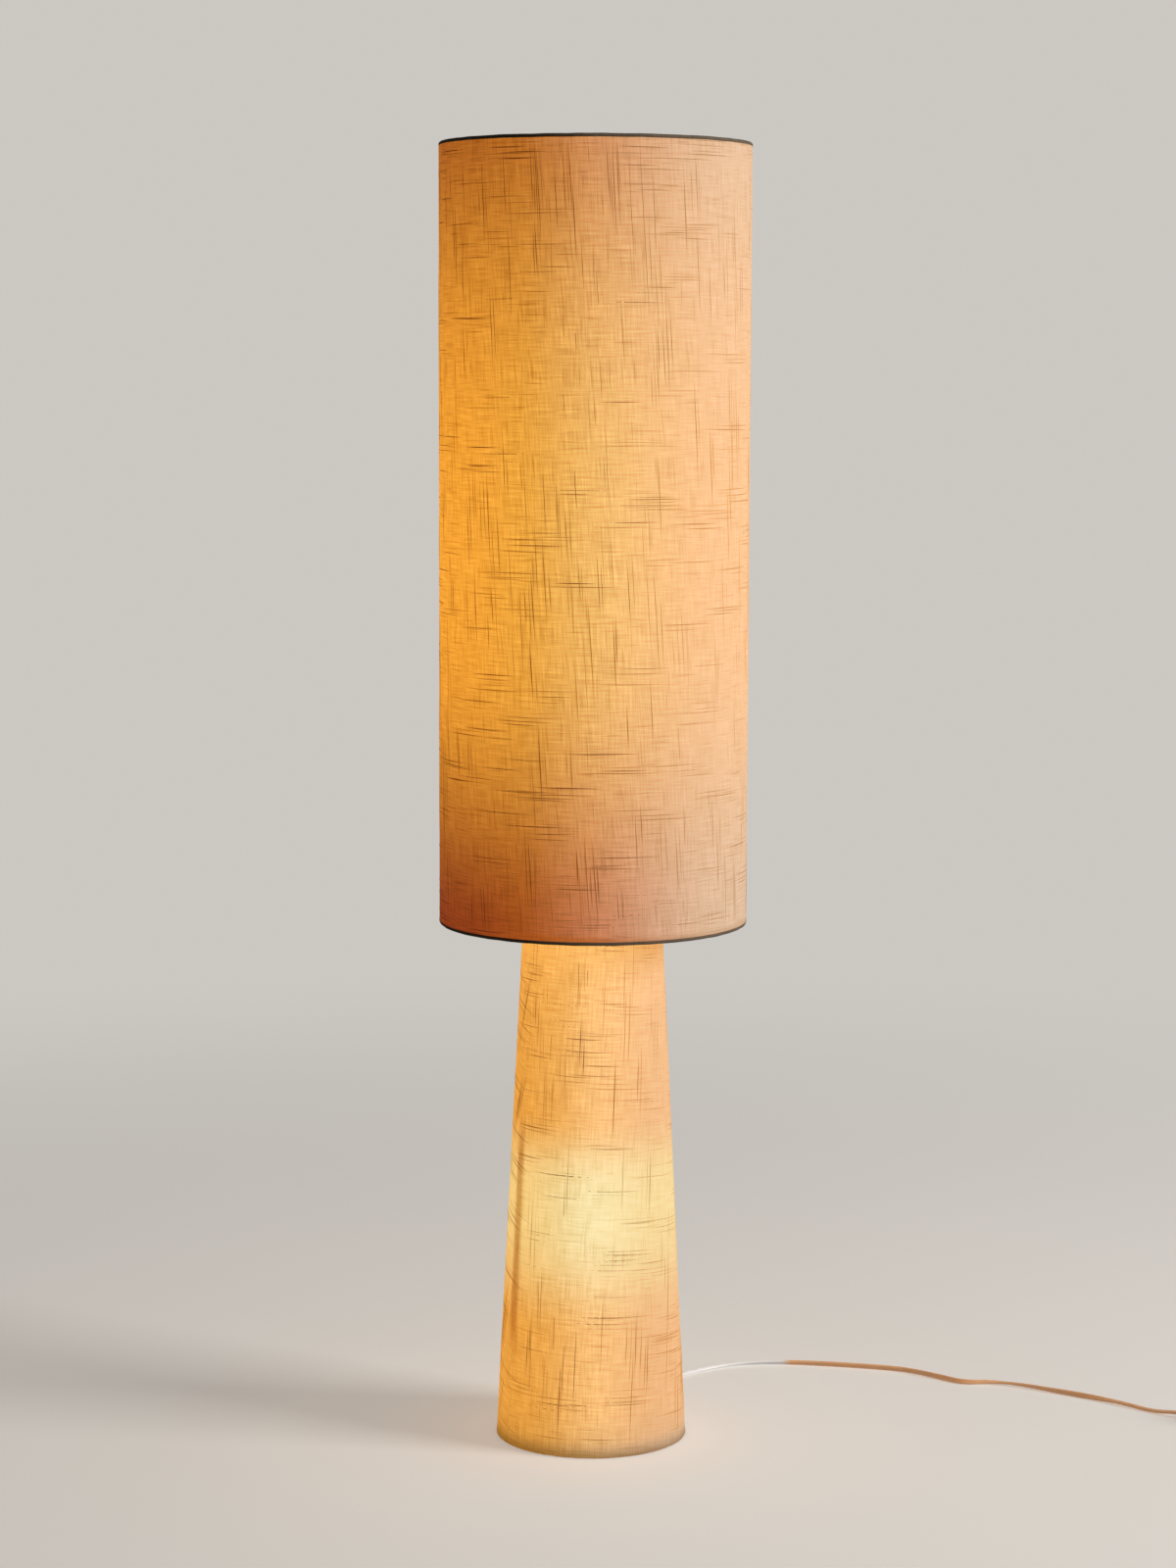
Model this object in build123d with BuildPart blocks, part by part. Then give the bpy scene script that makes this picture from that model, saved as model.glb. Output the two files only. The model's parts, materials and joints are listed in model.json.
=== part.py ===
from build123d import *
import math
import os

# Fabric shade floor lamp: a tall drum shade that stands on a lit fabric cone.
# Millimetres, +Z up, origin on the floor at the lamp's axis, front towards -Y.

# Driving dimensions: the outside
shade_radius = 175.0
shade_low = 598.0
shade_top = 1475.0
cover_foot_radius = 109.5
cover_head_radius = 77.5
cover_low = 0.8
cover_top = 640.0

# Cloth, liner and wire
cloth = 0.8
liner = 0.6
tape = 0.5
wire_radius = 1.6
wire_play = 0.05
hem_cloth = 0.75
hem_leg = 8.0
seam_width = 15.0

# Base plate and stem
plate_radius = 102.0
plate_low = 4.0
plate_top = 16.0
pad_radius = 11.0
pad_ring_radius = 80.0
stem_radius = 8.0
stem_bore = 6.5
flange_radius = 32.0
flange_top = 22.0
flange_neck_radius = 13.0
flange_neck_top = 34.0
flange_screw_ring = 23.0
screw_play = 0.05

# Lift-off seat that carries the cover and the shade
seat_boss_radius = 35.5
hub_bore = 36.0
hub_radius = 48.0
cover_hub_low = 634.0
cover_hub_top = 637.0
shade_hub_low = 637.1
shade_hub_top = 641.0
arm_radius = 2.5
arm_angles = (90, 210, 330)

# The two E27 lampholders and their bulbs
lower_lamp_y = -44.0
lower_holder_low = 203.0
upper_holder_low = 931.0
holder_radius = 18.0
holder_cap_height = 18.0
holder_height = 58.0
bulb_tip = 31.0
bulb_radius = 30.0
bulb_length = 105.0
glass_wall = 1.2
cap_radius = 13.1
cap_rim = 58.0
insert_low = 18.2
insert_top = 29.8
lead_radius = 2.2

# The cord and what is on it
cord_width = 6.8
cord_radius = cord_width / 2
floor_gap = 0.05
cord_floor = cord_radius + floor_gap
exit_angle = 70.0
exit_height = 4.8
gland_tip = 130.0
coil_pitch = 7.35
coil_radius = 37.0
coil_turns_in = 5
plug_height = 6.8

os.makedirs("parts", exist_ok=True)


def cover_radius(height):
    """Outer radius of the cone cover at a height."""
    return cover_foot_radius + (cover_head_radius - cover_foot_radius) * height / cover_top


def heading(angle):
    """Level unit vector at an angle from +X."""
    return Vector(math.cos(math.radians(angle)), math.sin(math.radians(angle)), 0)


def upright(angle, height=0.0):
    """Plane through the lamp's axis: local x runs outwards at the angle, local y runs up."""
    out = heading(angle)
    return Plane(origin=(0, 0, height), x_dir=out, z_dir=(out.Y, -out.X, 0))


def facing(angle, distance, height=0.0):
    """Plane that faces outwards at the angle: local x runs sideways, local y runs up."""
    out = heading(angle)
    return Plane(origin=out * distance + Vector(0, 0, height), x_dir=heading(angle + 90), z_dir=out)


# Base plate, with an edge slot where the cord comes in
slot_width = 10.0
slot_end = 64.5
slot_overrun = 20.0
slot_middle = (slot_end + plate_radius + slot_overrun) / 2
plate_chamfer = 1.2
exit_way = heading(exit_angle)
exit_side = heading(exit_angle + 90)
clamp_distance = 60.0
clamp_screw_side = 8.5
clamp_screw_radius = 1.95
clamp_spots = [exit_way * clamp_distance + exit_side * (side * clamp_screw_side) for side in (-1, 1)]

with BuildPart() as base_plate:
    with BuildSketch(Plane.XY.offset(plate_low)):
        Circle(plate_radius)
        with PolarLocations(flange_screw_ring, 3):
            Circle(clamp_screw_radius + screw_play, mode=Mode.SUBTRACT)
        with Locations(*clamp_spots):
            Circle(clamp_screw_radius + screw_play, mode=Mode.SUBTRACT)
    extrude(amount=plate_top - plate_low)
    chamfer(base_plate.edges().filter_by(GeomType.CIRCLE).sort_by(SortBy.RADIUS)[-2:], plate_chamfer)
    with BuildSketch(Plane.XY.offset(plate_low)):
        with Locations(Location(exit_way * slot_middle, (0, 0, exit_angle))):
            Rectangle(plate_radius + slot_overrun - slot_end, slot_width)
    extrude(amount=plate_top - plate_low, mode=Mode.SUBTRACT)

with BuildPart() as foot_pads:
    with BuildSketch():
        with PolarLocations(pad_ring_radius, 4, start_angle=20):
            Circle(pad_radius)
    extrude(amount=plate_low)

# Stem, its cast flange and the screws
lead_hole_height = 62.0
lower_hole_height = 168.0
stem_foot = 18.0

with BuildPart() as stem_flange:
    with BuildSketch(Plane.XZ):
        with BuildLine():
            Polyline(
                (0, plate_top), (flange_radius, plate_top), (flange_radius, flange_top - 1),
                (flange_radius - 1, flange_top), (flange_neck_radius, flange_top),
                (flange_neck_radius, flange_neck_top - 1), (flange_neck_radius - 1, flange_neck_top),
                (stem_radius, flange_neck_top), (stem_radius, stem_foot), (0, stem_foot), close=True,
            )
        make_face()
    revolve(axis=Axis.Z)
    with BuildSketch(Plane.XY.offset(plate_top)):
        with PolarLocations(flange_screw_ring, 3):
            Circle(clamp_screw_radius + screw_play)
    extrude(amount=flange_top - plate_top, mode=Mode.SUBTRACT)

screw_sink = 3.0
screw_head_radius = 3.6
screw_head_height = 2.6
screw_head_chamfer = 0.7

with BuildPart() as flange_screws:
    with BuildSketch(Plane.XY.offset(plate_low + screw_sink)):
        with PolarLocations(flange_screw_ring, 3):
            Circle(clamp_screw_radius)
    extrude(amount=flange_top - plate_low - screw_sink)
    with BuildSketch(Plane.XY.offset(flange_top)):
        with PolarLocations(flange_screw_ring, 3):
            Circle(screw_head_radius)
    extrude(amount=screw_head_height)
    chamfer(flange_screws.faces().group_by(Axis.Z)[-1].edges(), screw_head_chamfer)

lead_hole_radius = 3.4
lead_slot_lift = 1.5
cut_past = 1.0
with BuildPart() as stem:
    with BuildSketch(Plane.XY.offset(stem_foot)):
        Circle(stem_radius)
        Circle(stem_bore, mode=Mode.SUBTRACT)
    extrude(amount=upper_holder_low - stem_foot)
    with BuildSketch(facing(exit_angle, 0, lead_hole_height + lead_slot_lift)):
        SlotOverall(4 * lead_hole_radius, 2 * lead_hole_radius, rotation=90)
    extrude(amount=stem_radius + cut_past, mode=Mode.SUBTRACT)
    with BuildSketch(Plane.XZ):
        with Locations((0, lower_hole_height)):
            Circle(lead_hole_radius)
    extrude(amount=stem_radius + cut_past, mode=Mode.SUBTRACT)

# Pressed top-hat seat: the cover's spider rests on its brim, and its boss centres both hubs
seat_wall = 2.0
seat_crown = 646.0
seat_brim_radius = 45.0
seat_chamfer = 1.5
with BuildPart() as top_seat:
    with BuildSketch(Plane.XZ):
        with BuildLine():
            Polyline(
                (stem_radius, seat_crown - seat_wall),
                (seat_boss_radius - seat_wall, seat_crown - seat_wall),
                (seat_boss_radius - seat_wall, cover_hub_low - seat_wall),
                (seat_brim_radius, cover_hub_low - seat_wall), (seat_brim_radius, cover_hub_low),
                (seat_boss_radius, cover_hub_low), (seat_boss_radius, seat_crown - seat_chamfer),
                (seat_boss_radius - seat_chamfer, seat_crown), (stem_radius, seat_crown), close=True,
            )
        make_face()
    revolve(axis=Axis.Z)

nut_height = 6.0
nut_radius = 14.0
with BuildPart() as seat_nuts:
    for nut_low in (seat_crown, seat_crown - seat_wall - nut_height):
        with BuildSketch(Plane.XY.offset(nut_low)):
            RegularPolygon(nut_radius, 6)
            Circle(stem_radius, mode=Mode.SUBTRACT)
        extrude(amount=nut_height)

# Bracket, clamped on the stem, that holds the lower lamp in front of it
bracket_arm = 4.0
bracket_collar_radius = 13.0
bracket_collar_half = 8.0
bracket_width = 18.0
bracket_end_radius = 12.0
bracket_screw_radius = 1.95
bracket_head_radius = 4.2
bracket_head_height = 3.5
bracket_head_gap = 1.5
nipple_radius = 5.0
nipple_bore = 3.5
nipple_below = 7.0
nipple_above = 13.0
nipple_nut_height = 4.0
nipple_nut_radius = 8.5
bracket_low = lower_holder_low - bracket_arm
bracket_middle = bracket_low + bracket_arm / 2
with BuildPart() as lower_bracket:
    with BuildSketch(Plane.XY.offset(bracket_low)):
        with Locations((0, lower_lamp_y / 2)):
            Rectangle(bracket_width, -lower_lamp_y)
        with Locations((0, lower_lamp_y)):
            Circle(bracket_end_radius)
        Circle(stem_radius, mode=Mode.SUBTRACT)
        with Locations((0, lower_lamp_y)):
            Circle(nipple_radius, mode=Mode.SUBTRACT)
    extrude(amount=bracket_arm)
    with BuildSketch(Plane.XY.offset(bracket_middle - bracket_collar_half)):
        Circle(bracket_collar_radius)
        Circle(stem_radius, mode=Mode.SUBTRACT)
    extrude(amount=2 * bracket_collar_half)
    with BuildSketch(Plane.XZ.offset(-bracket_collar_radius)):
        with Locations((0, bracket_middle)):
            Circle(bracket_screw_radius + screw_play)
    extrude(amount=bracket_collar_radius - stem_radius + cut_past, mode=Mode.SUBTRACT)

with BuildPart() as bracket_screw:
    with BuildSketch(Plane.XZ.offset(-stem_radius)):
        with Locations((0, bracket_middle)):
            Circle(bracket_screw_radius)
    extrude(amount=-(bracket_collar_radius - stem_radius + bracket_head_gap))
    with BuildSketch(Plane.XZ.offset(-bracket_collar_radius - bracket_head_gap)):
        with Locations((0, bracket_middle)):
            Circle(bracket_head_radius)
    extrude(amount=-bracket_head_height)

with BuildPart() as lower_nipple:
    with BuildSketch(Plane.XY.offset(bracket_low - nipple_below)):
        with Locations((0, lower_lamp_y)):
            Circle(nipple_radius)
            Circle(nipple_bore, mode=Mode.SUBTRACT)
    extrude(amount=nipple_below + bracket_arm + nipple_above)

with BuildPart() as nipple_nut:
    with BuildSketch(Plane.XY.offset(bracket_low - nipple_nut_height)):
        with Locations((0, lower_lamp_y)):
            RegularPolygon(nipple_nut_radius, 6)
            Circle(nipple_radius, mode=Mode.SUBTRACT)
    extrude(amount=nipple_nut_height)

# Reducer that screws the upper lampholder to the stem's top end
reducer_depth = 18.0
with BuildPart() as upper_nipple:
    with BuildSketch(Plane.XZ):
        with BuildLine():
            Polyline(
                (nipple_bore, upper_holder_low - reducer_depth),
                (stem_bore, upper_holder_low - reducer_depth),
                (stem_bore, upper_holder_low), (nipple_radius, upper_holder_low),
                (nipple_radius, upper_holder_low + nipple_above),
                (nipple_bore, upper_holder_low + nipple_above), close=True,
            )
        make_face()
    revolve(axis=Axis.Z)


def lampholder_plane(y, low):
    """Upright plane through a lampholder's axis: local y is the height above its foot."""
    return Plane(origin=(0, y, low), x_dir=(1, 0, 0), z_dir=(0, -1, 0))


def turned(place, corners):
    """A piece turned about the lampholder's axis from the corners of its section."""
    with BuildPart() as piece:
        with BuildSketch(place):
            with BuildLine():
                Polyline(*corners, close=True)
            make_face()
        revolve(axis=Axis(place.origin, (0, 0, 1)))
    return piece


def holder_cap(place):
    """Domed cap with the nipple's hole in its foot."""
    top, wall = holder_cap_height, 2.2
    return turned(place, [
        (nipple_radius, 0), (9, 0), (15, 4), (holder_radius, 11), (holder_radius, top),
        (holder_radius - wall, top), (holder_radius - wall, 12), (13.6, 6.2), (8.5, 3),
        (nipple_radius, 3),
    ])


def holder_shell(place):
    """Cup that takes the bulb's cap, with a rolled lip at its mouth."""
    low, bore, cavity = holder_cap_height, 13.7, 15.5
    return turned(place, [
        (cavity, low), (holder_radius, low), (holder_radius, 50), (20, 52), (20, 56),
        (19, holder_height), (bore, holder_height), (bore, 30), (cavity, 30),
    ])


def holder_insert(place):
    """Ceramic disc that carries the contacts."""
    return turned(place, [
        (0, insert_low), (15.4, insert_low), (15.4, insert_top - 0.8), (13, insert_top),
        (0, insert_top),
    ])


def bulb_base(place):
    """E27 screw cap with its tip contact."""
    return turned(place, [
        (0, bulb_tip), (4.5, bulb_tip), (5.5, bulb_tip + 2), (11.5, bulb_tip + 6),
        (cap_radius, bulb_tip + 8), (cap_radius, cap_rim), (0, cap_rim),
    ])


def bulb_glass(place):
    """Hollow pear-shaped glass of a standard 60 mm bulb, open at its neck."""
    centre = bulb_tip + bulb_length - bulb_radius
    neck_radius = cap_radius - 0.1
    meet, crown = math.radians(-28), 0.5

    def half_outline(radius, neck):
        cos, sin = math.cos(meet), math.sin(meet)
        shoulder = (radius * cos, centre + radius * sin)
        TangentArc(shoulder, (neck, cap_rim), tangent=(sin, -cos))
        side = (radius * math.cos(crown), centre + radius * math.sin(crown))
        ThreePointArc(shoulder, side, (0, centre + radius))
        Polyline((0, centre + radius), (0, cap_rim), (neck, cap_rim))

    with BuildPart() as glass:
        with BuildSketch(place):
            with BuildLine():
                half_outline(bulb_radius, neck_radius)
            make_face()
        revolve(axis=Axis(place.origin, (0, 0, 1)))
        with BuildSketch(place):
            with BuildLine():
                half_outline(bulb_radius - glass_wall, neck_radius - glass_wall)
            make_face()
        revolve(axis=Axis(place.origin, (0, 0, 1)), mode=Mode.SUBTRACT)
    return glass


lower_lamp = lampholder_plane(lower_lamp_y, lower_holder_low)
upper_lamp = lampholder_plane(0, upper_holder_low)

with BuildPart() as centre_contacts:
    for lamp in (lower_lamp, upper_lamp):
        with BuildSketch(lamp):
            with BuildLine():
                Polyline((0, insert_top), (4, insert_top), (4, insert_top + 0.6), (3, bulb_tip),
                         (0, bulb_tip), close=True)
            make_face()
        revolve(axis=Axis(lamp.origin, (0, 0, 1)))

lamp_pieces = {"centre_contacts": centre_contacts}
for where, lamp in (("lower", lower_lamp), ("upper", upper_lamp)):
    lamp_pieces[where + "_holder_cap"] = holder_cap(lamp)
    lamp_pieces[where + "_holder_shell"] = holder_shell(lamp)
    lamp_pieces[where + "_holder_insert"] = holder_insert(lamp)
    lamp_pieces[where + "_bulb_base"] = bulb_base(lamp)
    lamp_pieces[where + "_bulb_glass"] = bulb_glass(lamp)


# Cords and leads: straight runs joined by arcs as large as the runs allow
def corner_radii(points):
    """One arc radius for each corner of a route, so that each arc takes under half of either run."""
    share = 0.45
    runs = [b - a for a, b in zip(points, points[1:])]
    return [
        share * min(one.length, two.length) / math.tan(math.radians(one.get_angle(two)) / 2)
        for one, two in zip(runs, runs[1:])
    ]


def laid_tube(name, points, radius, radii=None):
    """A tube along a route, with its length, its tightest arc and its volume printed."""
    points = [Vector(*p) for p in points]
    radii = radii or corner_radii(points)
    with BuildPart() as tube:
        with BuildLine() as route:
            FilletPolyline(*points, radius=radii)
        path = route.wires()[0]
        with BuildSketch(Plane(origin=path @ 0, z_dir=path % 0)):
            Circle(radius)
        sweep(path=path)
    share = tube.part.volume / (math.pi * radius**2 * path.length)
    print(name, "length", round(path.length, 1), "tightest arc", round(min(radii), 1),
          "volume share", round(share, 4))
    return tube


# Wiring inside the base
cord_on_plate = plate_top + cord_radius + 0.2
cord_in_slot = 9.5
gland_inner = 92.0
gland_step = 2.0
gland_waist = 4.2
gland_lip = 4.6
tip_wall = 0.4
block_far = 51.0
block_near = 37.0
block_middle = (block_near + block_far) / 2
block_width = 26.0
block_top = plate_top + 13.0
block_hole_radius = 1.9
block_hole_depth = 4.0
block_hole_side = 8.0


def along_exit(distance, height, side=0.0):
    """A point at a distance from the axis along the cord's exit direction."""
    spot = exit_way * distance + exit_side * side
    return (spot.X, spot.Y, height)


inner_cord = laid_tube("inner_cord", [
    along_exit(gland_inner, cord_in_slot), along_exit(83, cord_in_slot), along_exit(71, cord_on_plate),
    along_exit(block_far, cord_on_plate),
], cord_radius)

with BuildPart() as cord_gland:
    with BuildSketch(Plane.XY.offset(plate_low)):
        with Locations(Location(exit_way * ((gland_inner + plate_radius) / 2), (0, 0, exit_angle))):
            Rectangle(plate_radius - gland_inner, slot_width - 2 * screw_play)
    extrude(amount=plate_top - plate_low)
    with BuildSketch(upright(exit_angle, exit_height)):
        with BuildLine():
            Polyline(
                (gland_inner + gland_step, 0), (gland_inner + gland_step, gland_waist),
                (plate_radius, gland_waist), (plate_radius, gland_lip), (plate_radius + 1.8, gland_lip),
                (plate_radius + 2.4, gland_lip - 0.6), (gland_tip, cord_radius + tip_wall),
                (gland_tip, 0), close=True,
            )
        make_face()
    revolve(axis=Axis((0, 0, exit_height), exit_way))

clamp_half = 4.5
clamp_height = cord_width + 2.6
clamp_width = 26.0
clamp_channel = cord_radius + 0.1
with BuildPart() as cord_clamp:
    with BuildSketch(facing(exit_angle, clamp_distance - clamp_half)):
        with Locations((0, plate_top + clamp_height / 2)):
            Rectangle(clamp_width, clamp_height)
        with Locations((0, cord_on_plate)):
            Circle(clamp_channel, mode=Mode.SUBTRACT)
        with Locations((0, (plate_top + cord_on_plate) / 2)):
            Rectangle(2 * clamp_channel, cord_on_plate - plate_top, mode=Mode.SUBTRACT)
    extrude(amount=2 * clamp_half)
    with BuildSketch(Plane.XY.offset(plate_top)):
        with Locations(*clamp_spots):
            Circle(clamp_screw_radius + screw_play)
    extrude(amount=clamp_height, mode=Mode.SUBTRACT)

with BuildPart() as clamp_screws:
    with BuildSketch(Plane.XY.offset(plate_low + screw_sink)):
        with Locations(*clamp_spots):
            Circle(clamp_screw_radius)
    extrude(amount=plate_top + clamp_height - plate_low - screw_sink)
    with BuildSketch(Plane.XY.offset(plate_top + clamp_height)):
        with Locations(*clamp_spots):
            Circle(screw_head_radius)
    extrude(amount=screw_head_height)
    chamfer(clamp_screws.faces().group_by(Axis.Z)[-1].edges(), screw_head_chamfer)

with BuildPart() as terminal_block:
    with BuildSketch(Plane.XY.offset(plate_top)):
        with Locations(Location(exit_way * block_middle, (0, 0, exit_angle))):
            Rectangle(block_far - block_near, block_width)
    extrude(amount=block_top - plate_top)
    chamfer(terminal_block.faces().sort_by(Axis.Z)[-1].edges(), 1)
    with BuildSketch(Plane.XY.offset(block_top - block_hole_depth)):
        for along, side in ((-3, -1), (-3, 1), (4, -1), (4, 0), (4, 1)):
            with Locations(exit_way * (block_middle + along) + exit_side * (side * block_hole_side)):
                Circle(block_hole_radius)
    extrude(amount=block_hole_depth, mode=Mode.SUBTRACT)

lead_rise = block_middle - 3
stem_lead = laid_tube("stem_lead", [
    along_exit(lead_rise, block_top), along_exit(lead_rise, lead_hole_height), (0, 0, lead_hole_height),
    (0, 0, upper_holder_low + insert_low),
], lead_radius, [14.0, 8.0])

lower_lead = laid_tube("lower_lead", [
    (0, -lead_radius - 0.3, lower_hole_height), (0, lower_lamp_y, lower_hole_height),
    (0, lower_lamp_y, lower_holder_low + insert_low),
], lead_radius)

# Base cover: cone of cloth on a stiff liner, a turned-over head on its wire, and a foot ring
notch_width = 9.6
notch_height = 9.8
liner_rise = 0.6
seam_clearance = 5.0
foot_ring_height = 12.5
head_ring_height = cover_top - hem_cloth - wire_play - wire_radius
hem_reach = wire_radius + wire_play + hem_cloth
cloth_head = head_ring_height - wire_radius
head_ring_radius = cover_radius(head_ring_height) - hem_reach
foot_ring_radius = cover_radius(foot_ring_height) - cloth - liner - wire_radius - wire_play


def cone_wall(low, high, outside, thickness):
    """Corners of a layer of the cone: outside is how far its outer face lies within the cover's."""
    return [
        (cover_radius(low) - outside, low), (cover_radius(high) - outside, high),
        (cover_radius(high) - outside - thickness, high),
        (cover_radius(low) - outside - thickness, low),
    ]


def cord_notch():
    """Outline of the notch in the cover's foot that lets the cord out."""
    with Locations((0, notch_height / 2)):
        Rectangle(notch_width, notch_height)


with BuildPart() as base_fabric:
    with BuildSketch(Plane.XZ):
        with BuildLine():
            Polyline(*cone_wall(cover_low, cloth_head, 0, cloth), close=True)
        make_face()
    revolve(axis=Axis.Z)
    with BuildSketch(facing(exit_angle, cover_head_radius)):
        cord_notch()
    extrude(amount=cover_foot_radius, mode=Mode.SUBTRACT)

with BuildPart() as base_liner:
    with BuildSketch(Plane.XZ):
        with BuildLine():
            Polyline(*cone_wall(cover_low + liner_rise, cloth_head, cloth, liner), close=True)
        make_face()
    revolve(axis=Axis.Z)
    with BuildSketch(facing(exit_angle, cover_head_radius)):
        cord_notch()
    extrude(amount=cover_foot_radius, mode=Mode.SUBTRACT)

base_seam_angle = -151.0
base_seam_turn = math.degrees(seam_width / cover_foot_radius)
with BuildPart() as base_seam_tape:
    with BuildSketch(upright(base_seam_angle - base_seam_turn / 2)):
        with BuildLine():
            Polyline(*cone_wall(foot_ring_height + seam_clearance, cover_top - hem_leg - seam_clearance,
                                cloth + liner, tape), close=True)
        make_face()
    revolve(axis=Axis.Z, revolution_arc=base_seam_turn)


def wire_ring(radius, height):
    """A welded hoop of round wire."""
    with BuildPart() as hoop:
        with BuildSketch(Plane.XZ):
            with Locations((radius, height)):
                Circle(wire_radius)
        revolve(axis=Axis.Z)
    return hoop


def rolled_hem(radius, height, side, slits=None):
    """Cloth turned over a hoop, slit where arms pass: side is 1 at a top rim and -1 at a bottom rim."""
    inner, outer = wire_radius + wire_play, hem_reach
    wall_end = height - side * wire_radius
    raw_edge = height - side * hem_leg
    with BuildPart() as hem:
        with BuildSketch(Plane.XZ):
            with BuildLine():
                Polyline((radius + inner, height), (radius + inner, wall_end),
                         (radius + outer, wall_end), (radius + outer, height))
                ThreePointArc((radius + outer, height), (radius, height + side * outer),
                              (radius - outer, height))
                Polyline((radius - outer, height), (radius - outer, raw_edge),
                         (radius - inner, raw_edge), (radius - inner, height))
                ThreePointArc((radius - inner, height), (radius, height + side * inner),
                              (radius + inner, height))
            make_face()
        revolve(axis=Axis.Z)
        if slits:
            add(slits.part, mode=Mode.SUBTRACT)
    return hem


base_top_ring = wire_ring(head_ring_radius, head_ring_height)
base_bottom_ring = wire_ring(foot_ring_radius, foot_ring_height)

spider_arm = 9.0
spider_play = 0.4
with BuildPart() as base_top_spider:
    with BuildSketch(Plane.XY.offset(cover_hub_low)):
        for angle in arm_angles:
            with Locations(Location(heading(angle) * head_ring_radius / 2, (0, 0, angle))):
                Rectangle(head_ring_radius, spider_arm)
        Circle(hub_radius)
        Circle(hub_bore, mode=Mode.SUBTRACT)
    extrude(amount=cover_hub_top - cover_hub_low)

with BuildPart() as spider_slits:
    with BuildSketch(Plane.XY.offset(cover_hub_low - spider_play)):
        for angle in arm_angles:
            with Locations(Location(heading(angle) * head_ring_radius / 2, (0, 0, angle))):
                Rectangle(head_ring_radius, spider_arm + 2 * spider_play)
    extrude(amount=cover_hub_top - cover_hub_low + 2 * spider_play)

base_top_hem = rolled_hem(head_ring_radius, head_ring_height, 1, spider_slits)

# Shade: a cylinder of cloth on a stiff liner between two hoops, carried by three arms and a hub
hoop_radius = shade_radius - hem_reach
top_hoop_height = shade_top - hem_reach
low_hoop_height = shade_low + hem_reach
shade_cloth_low = low_hoop_height + wire_radius
shade_cloth_top = top_hoop_height - wire_radius


def shade_layer(outside, thickness):
    """A layer of the cylinder: outside is how far its outer face lies within the shade's."""
    with BuildPart() as layer:
        with BuildSketch(Plane.XY.offset(shade_cloth_low)):
            Circle(shade_radius - outside)
            Circle(shade_radius - outside - thickness, mode=Mode.SUBTRACT)
        extrude(amount=shade_cloth_top - shade_cloth_low)
    return layer


shade_fabric = shade_layer(0, cloth)
shade_liner = shade_layer(cloth, liner)
shade_top_ring = wire_ring(hoop_radius, top_hoop_height)
shade_bottom_ring = wire_ring(hoop_radius, low_hoop_height)
shade_top_hem = rolled_hem(hoop_radius, top_hoop_height, 1)

shade_seam_angle = 70.0
shade_seam_turn = math.degrees(seam_width / shade_radius)
hub_chamfer = 0.8
arm_bend_radius = 20.0
with BuildPart() as shade_seam_tape:
    with BuildSketch(upright(shade_seam_angle - shade_seam_turn / 2)):
        with Locations((shade_radius - cloth - liner - tape / 2, (shade_low + shade_top) / 2)):
            Rectangle(tape, shade_top - shade_low - 2 * (hem_leg + seam_clearance))
    revolve(axis=Axis.Z, revolution_arc=shade_seam_turn)

with BuildPart() as shade_hub:
    with BuildSketch(Plane.XY.offset(shade_hub_low)):
        Circle(hub_radius)
        Circle(hub_bore, mode=Mode.SUBTRACT)
    extrude(amount=shade_hub_top - shade_hub_low)
    chamfer(shade_hub.faces().sort_by(Axis.Z)[-1].edges(), hub_chamfer)

arm_start = (hub_bore + 6, shade_hub_top + arm_radius - 0.5)
arm_bend = (94.0, 650.0)
arm_end = (hoop_radius - 0.9, low_hoop_height + 1.2)


def shade_arm_solids(thickness):
    """The three bent wires from the hub to the lower hoop."""
    with BuildPart() as arms:
        for angle in arm_angles:
            out = heading(angle)
            stations = (arm_start, arm_bend, arm_end)
            places = [out * reach + Vector(0, 0, height) for reach, height in stations]
            with BuildLine() as bent:
                FilletPolyline(*places, radius=arm_bend_radius)
            path = bent.wires()[0]
            with BuildSketch(Plane(origin=path @ 0, z_dir=path % 0)):
                Circle(thickness)
            sweep(path=path)
    return arms


shade_arms = shade_arm_solids(arm_radius)
arm_slits = shade_arm_solids(arm_radius + spider_play)
shade_bottom_hem = rolled_hem(hoop_radius, low_hoop_height, -1, arm_slits)

# Foot switch, past the point where the photograph's view ends
switch_angle = -30.0
switch_way = heading(switch_angle)
switch_middle = Vector(758, 22, 0)
switch_length = 84.0
switch_width = 44.0
switch_pad_height = 1.0
switch_split = 7.5
switch_top = 22.0
switch_wall = 2.0
switch_edge = 5.0
switch_pad_inset = 7.0
low_boss_radius = 4.5
high_boss_radius = 3.8
switch_screw_radius = 1.25
switch_screw_rise = 7.0
switch_screw_head = 2.7
switch_head_height = 1.8
switch_head_low = 1.4
boss_seat = 3.2
switch_floor = Plane(origin=switch_middle, x_dir=switch_way, z_dir=(0, 0, 1))
switch_section = Plane(origin=switch_middle, x_dir=switch_way, z_dir=(switch_way.Y, -switch_way.X, 0))
switch_entry_height = 6.5
neck_radius = 4.4
neck_reach = 12.0
button_radius = 12.5
button_top = 27.0
button_flange_low = 17.0
button_play = 0.4
button_flange = 2.5
button_fillet = 2.5
boss_distance = 29.0
mechanism_top = 10.0
mechanism_length = 36.0
mechanism_width = 26.0
spring_top = 23.0
spring_radius = 5.5
spring_wire = 0.5

with BuildPart() as switch_pad:
    with BuildSketch(switch_floor):
        SlotOverall(switch_length - 2 * switch_pad_inset, switch_width - 2 * switch_pad_inset)
    extrude(amount=switch_pad_height)

with BuildPart() as neck_holes:
    with BuildSketch(Plane(origin=switch_middle + Vector(0, 0, switch_entry_height), z_dir=switch_way)):
        Circle(neck_radius)
    extrude(amount=switch_length / 2 + cut_past, both=True)

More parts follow.
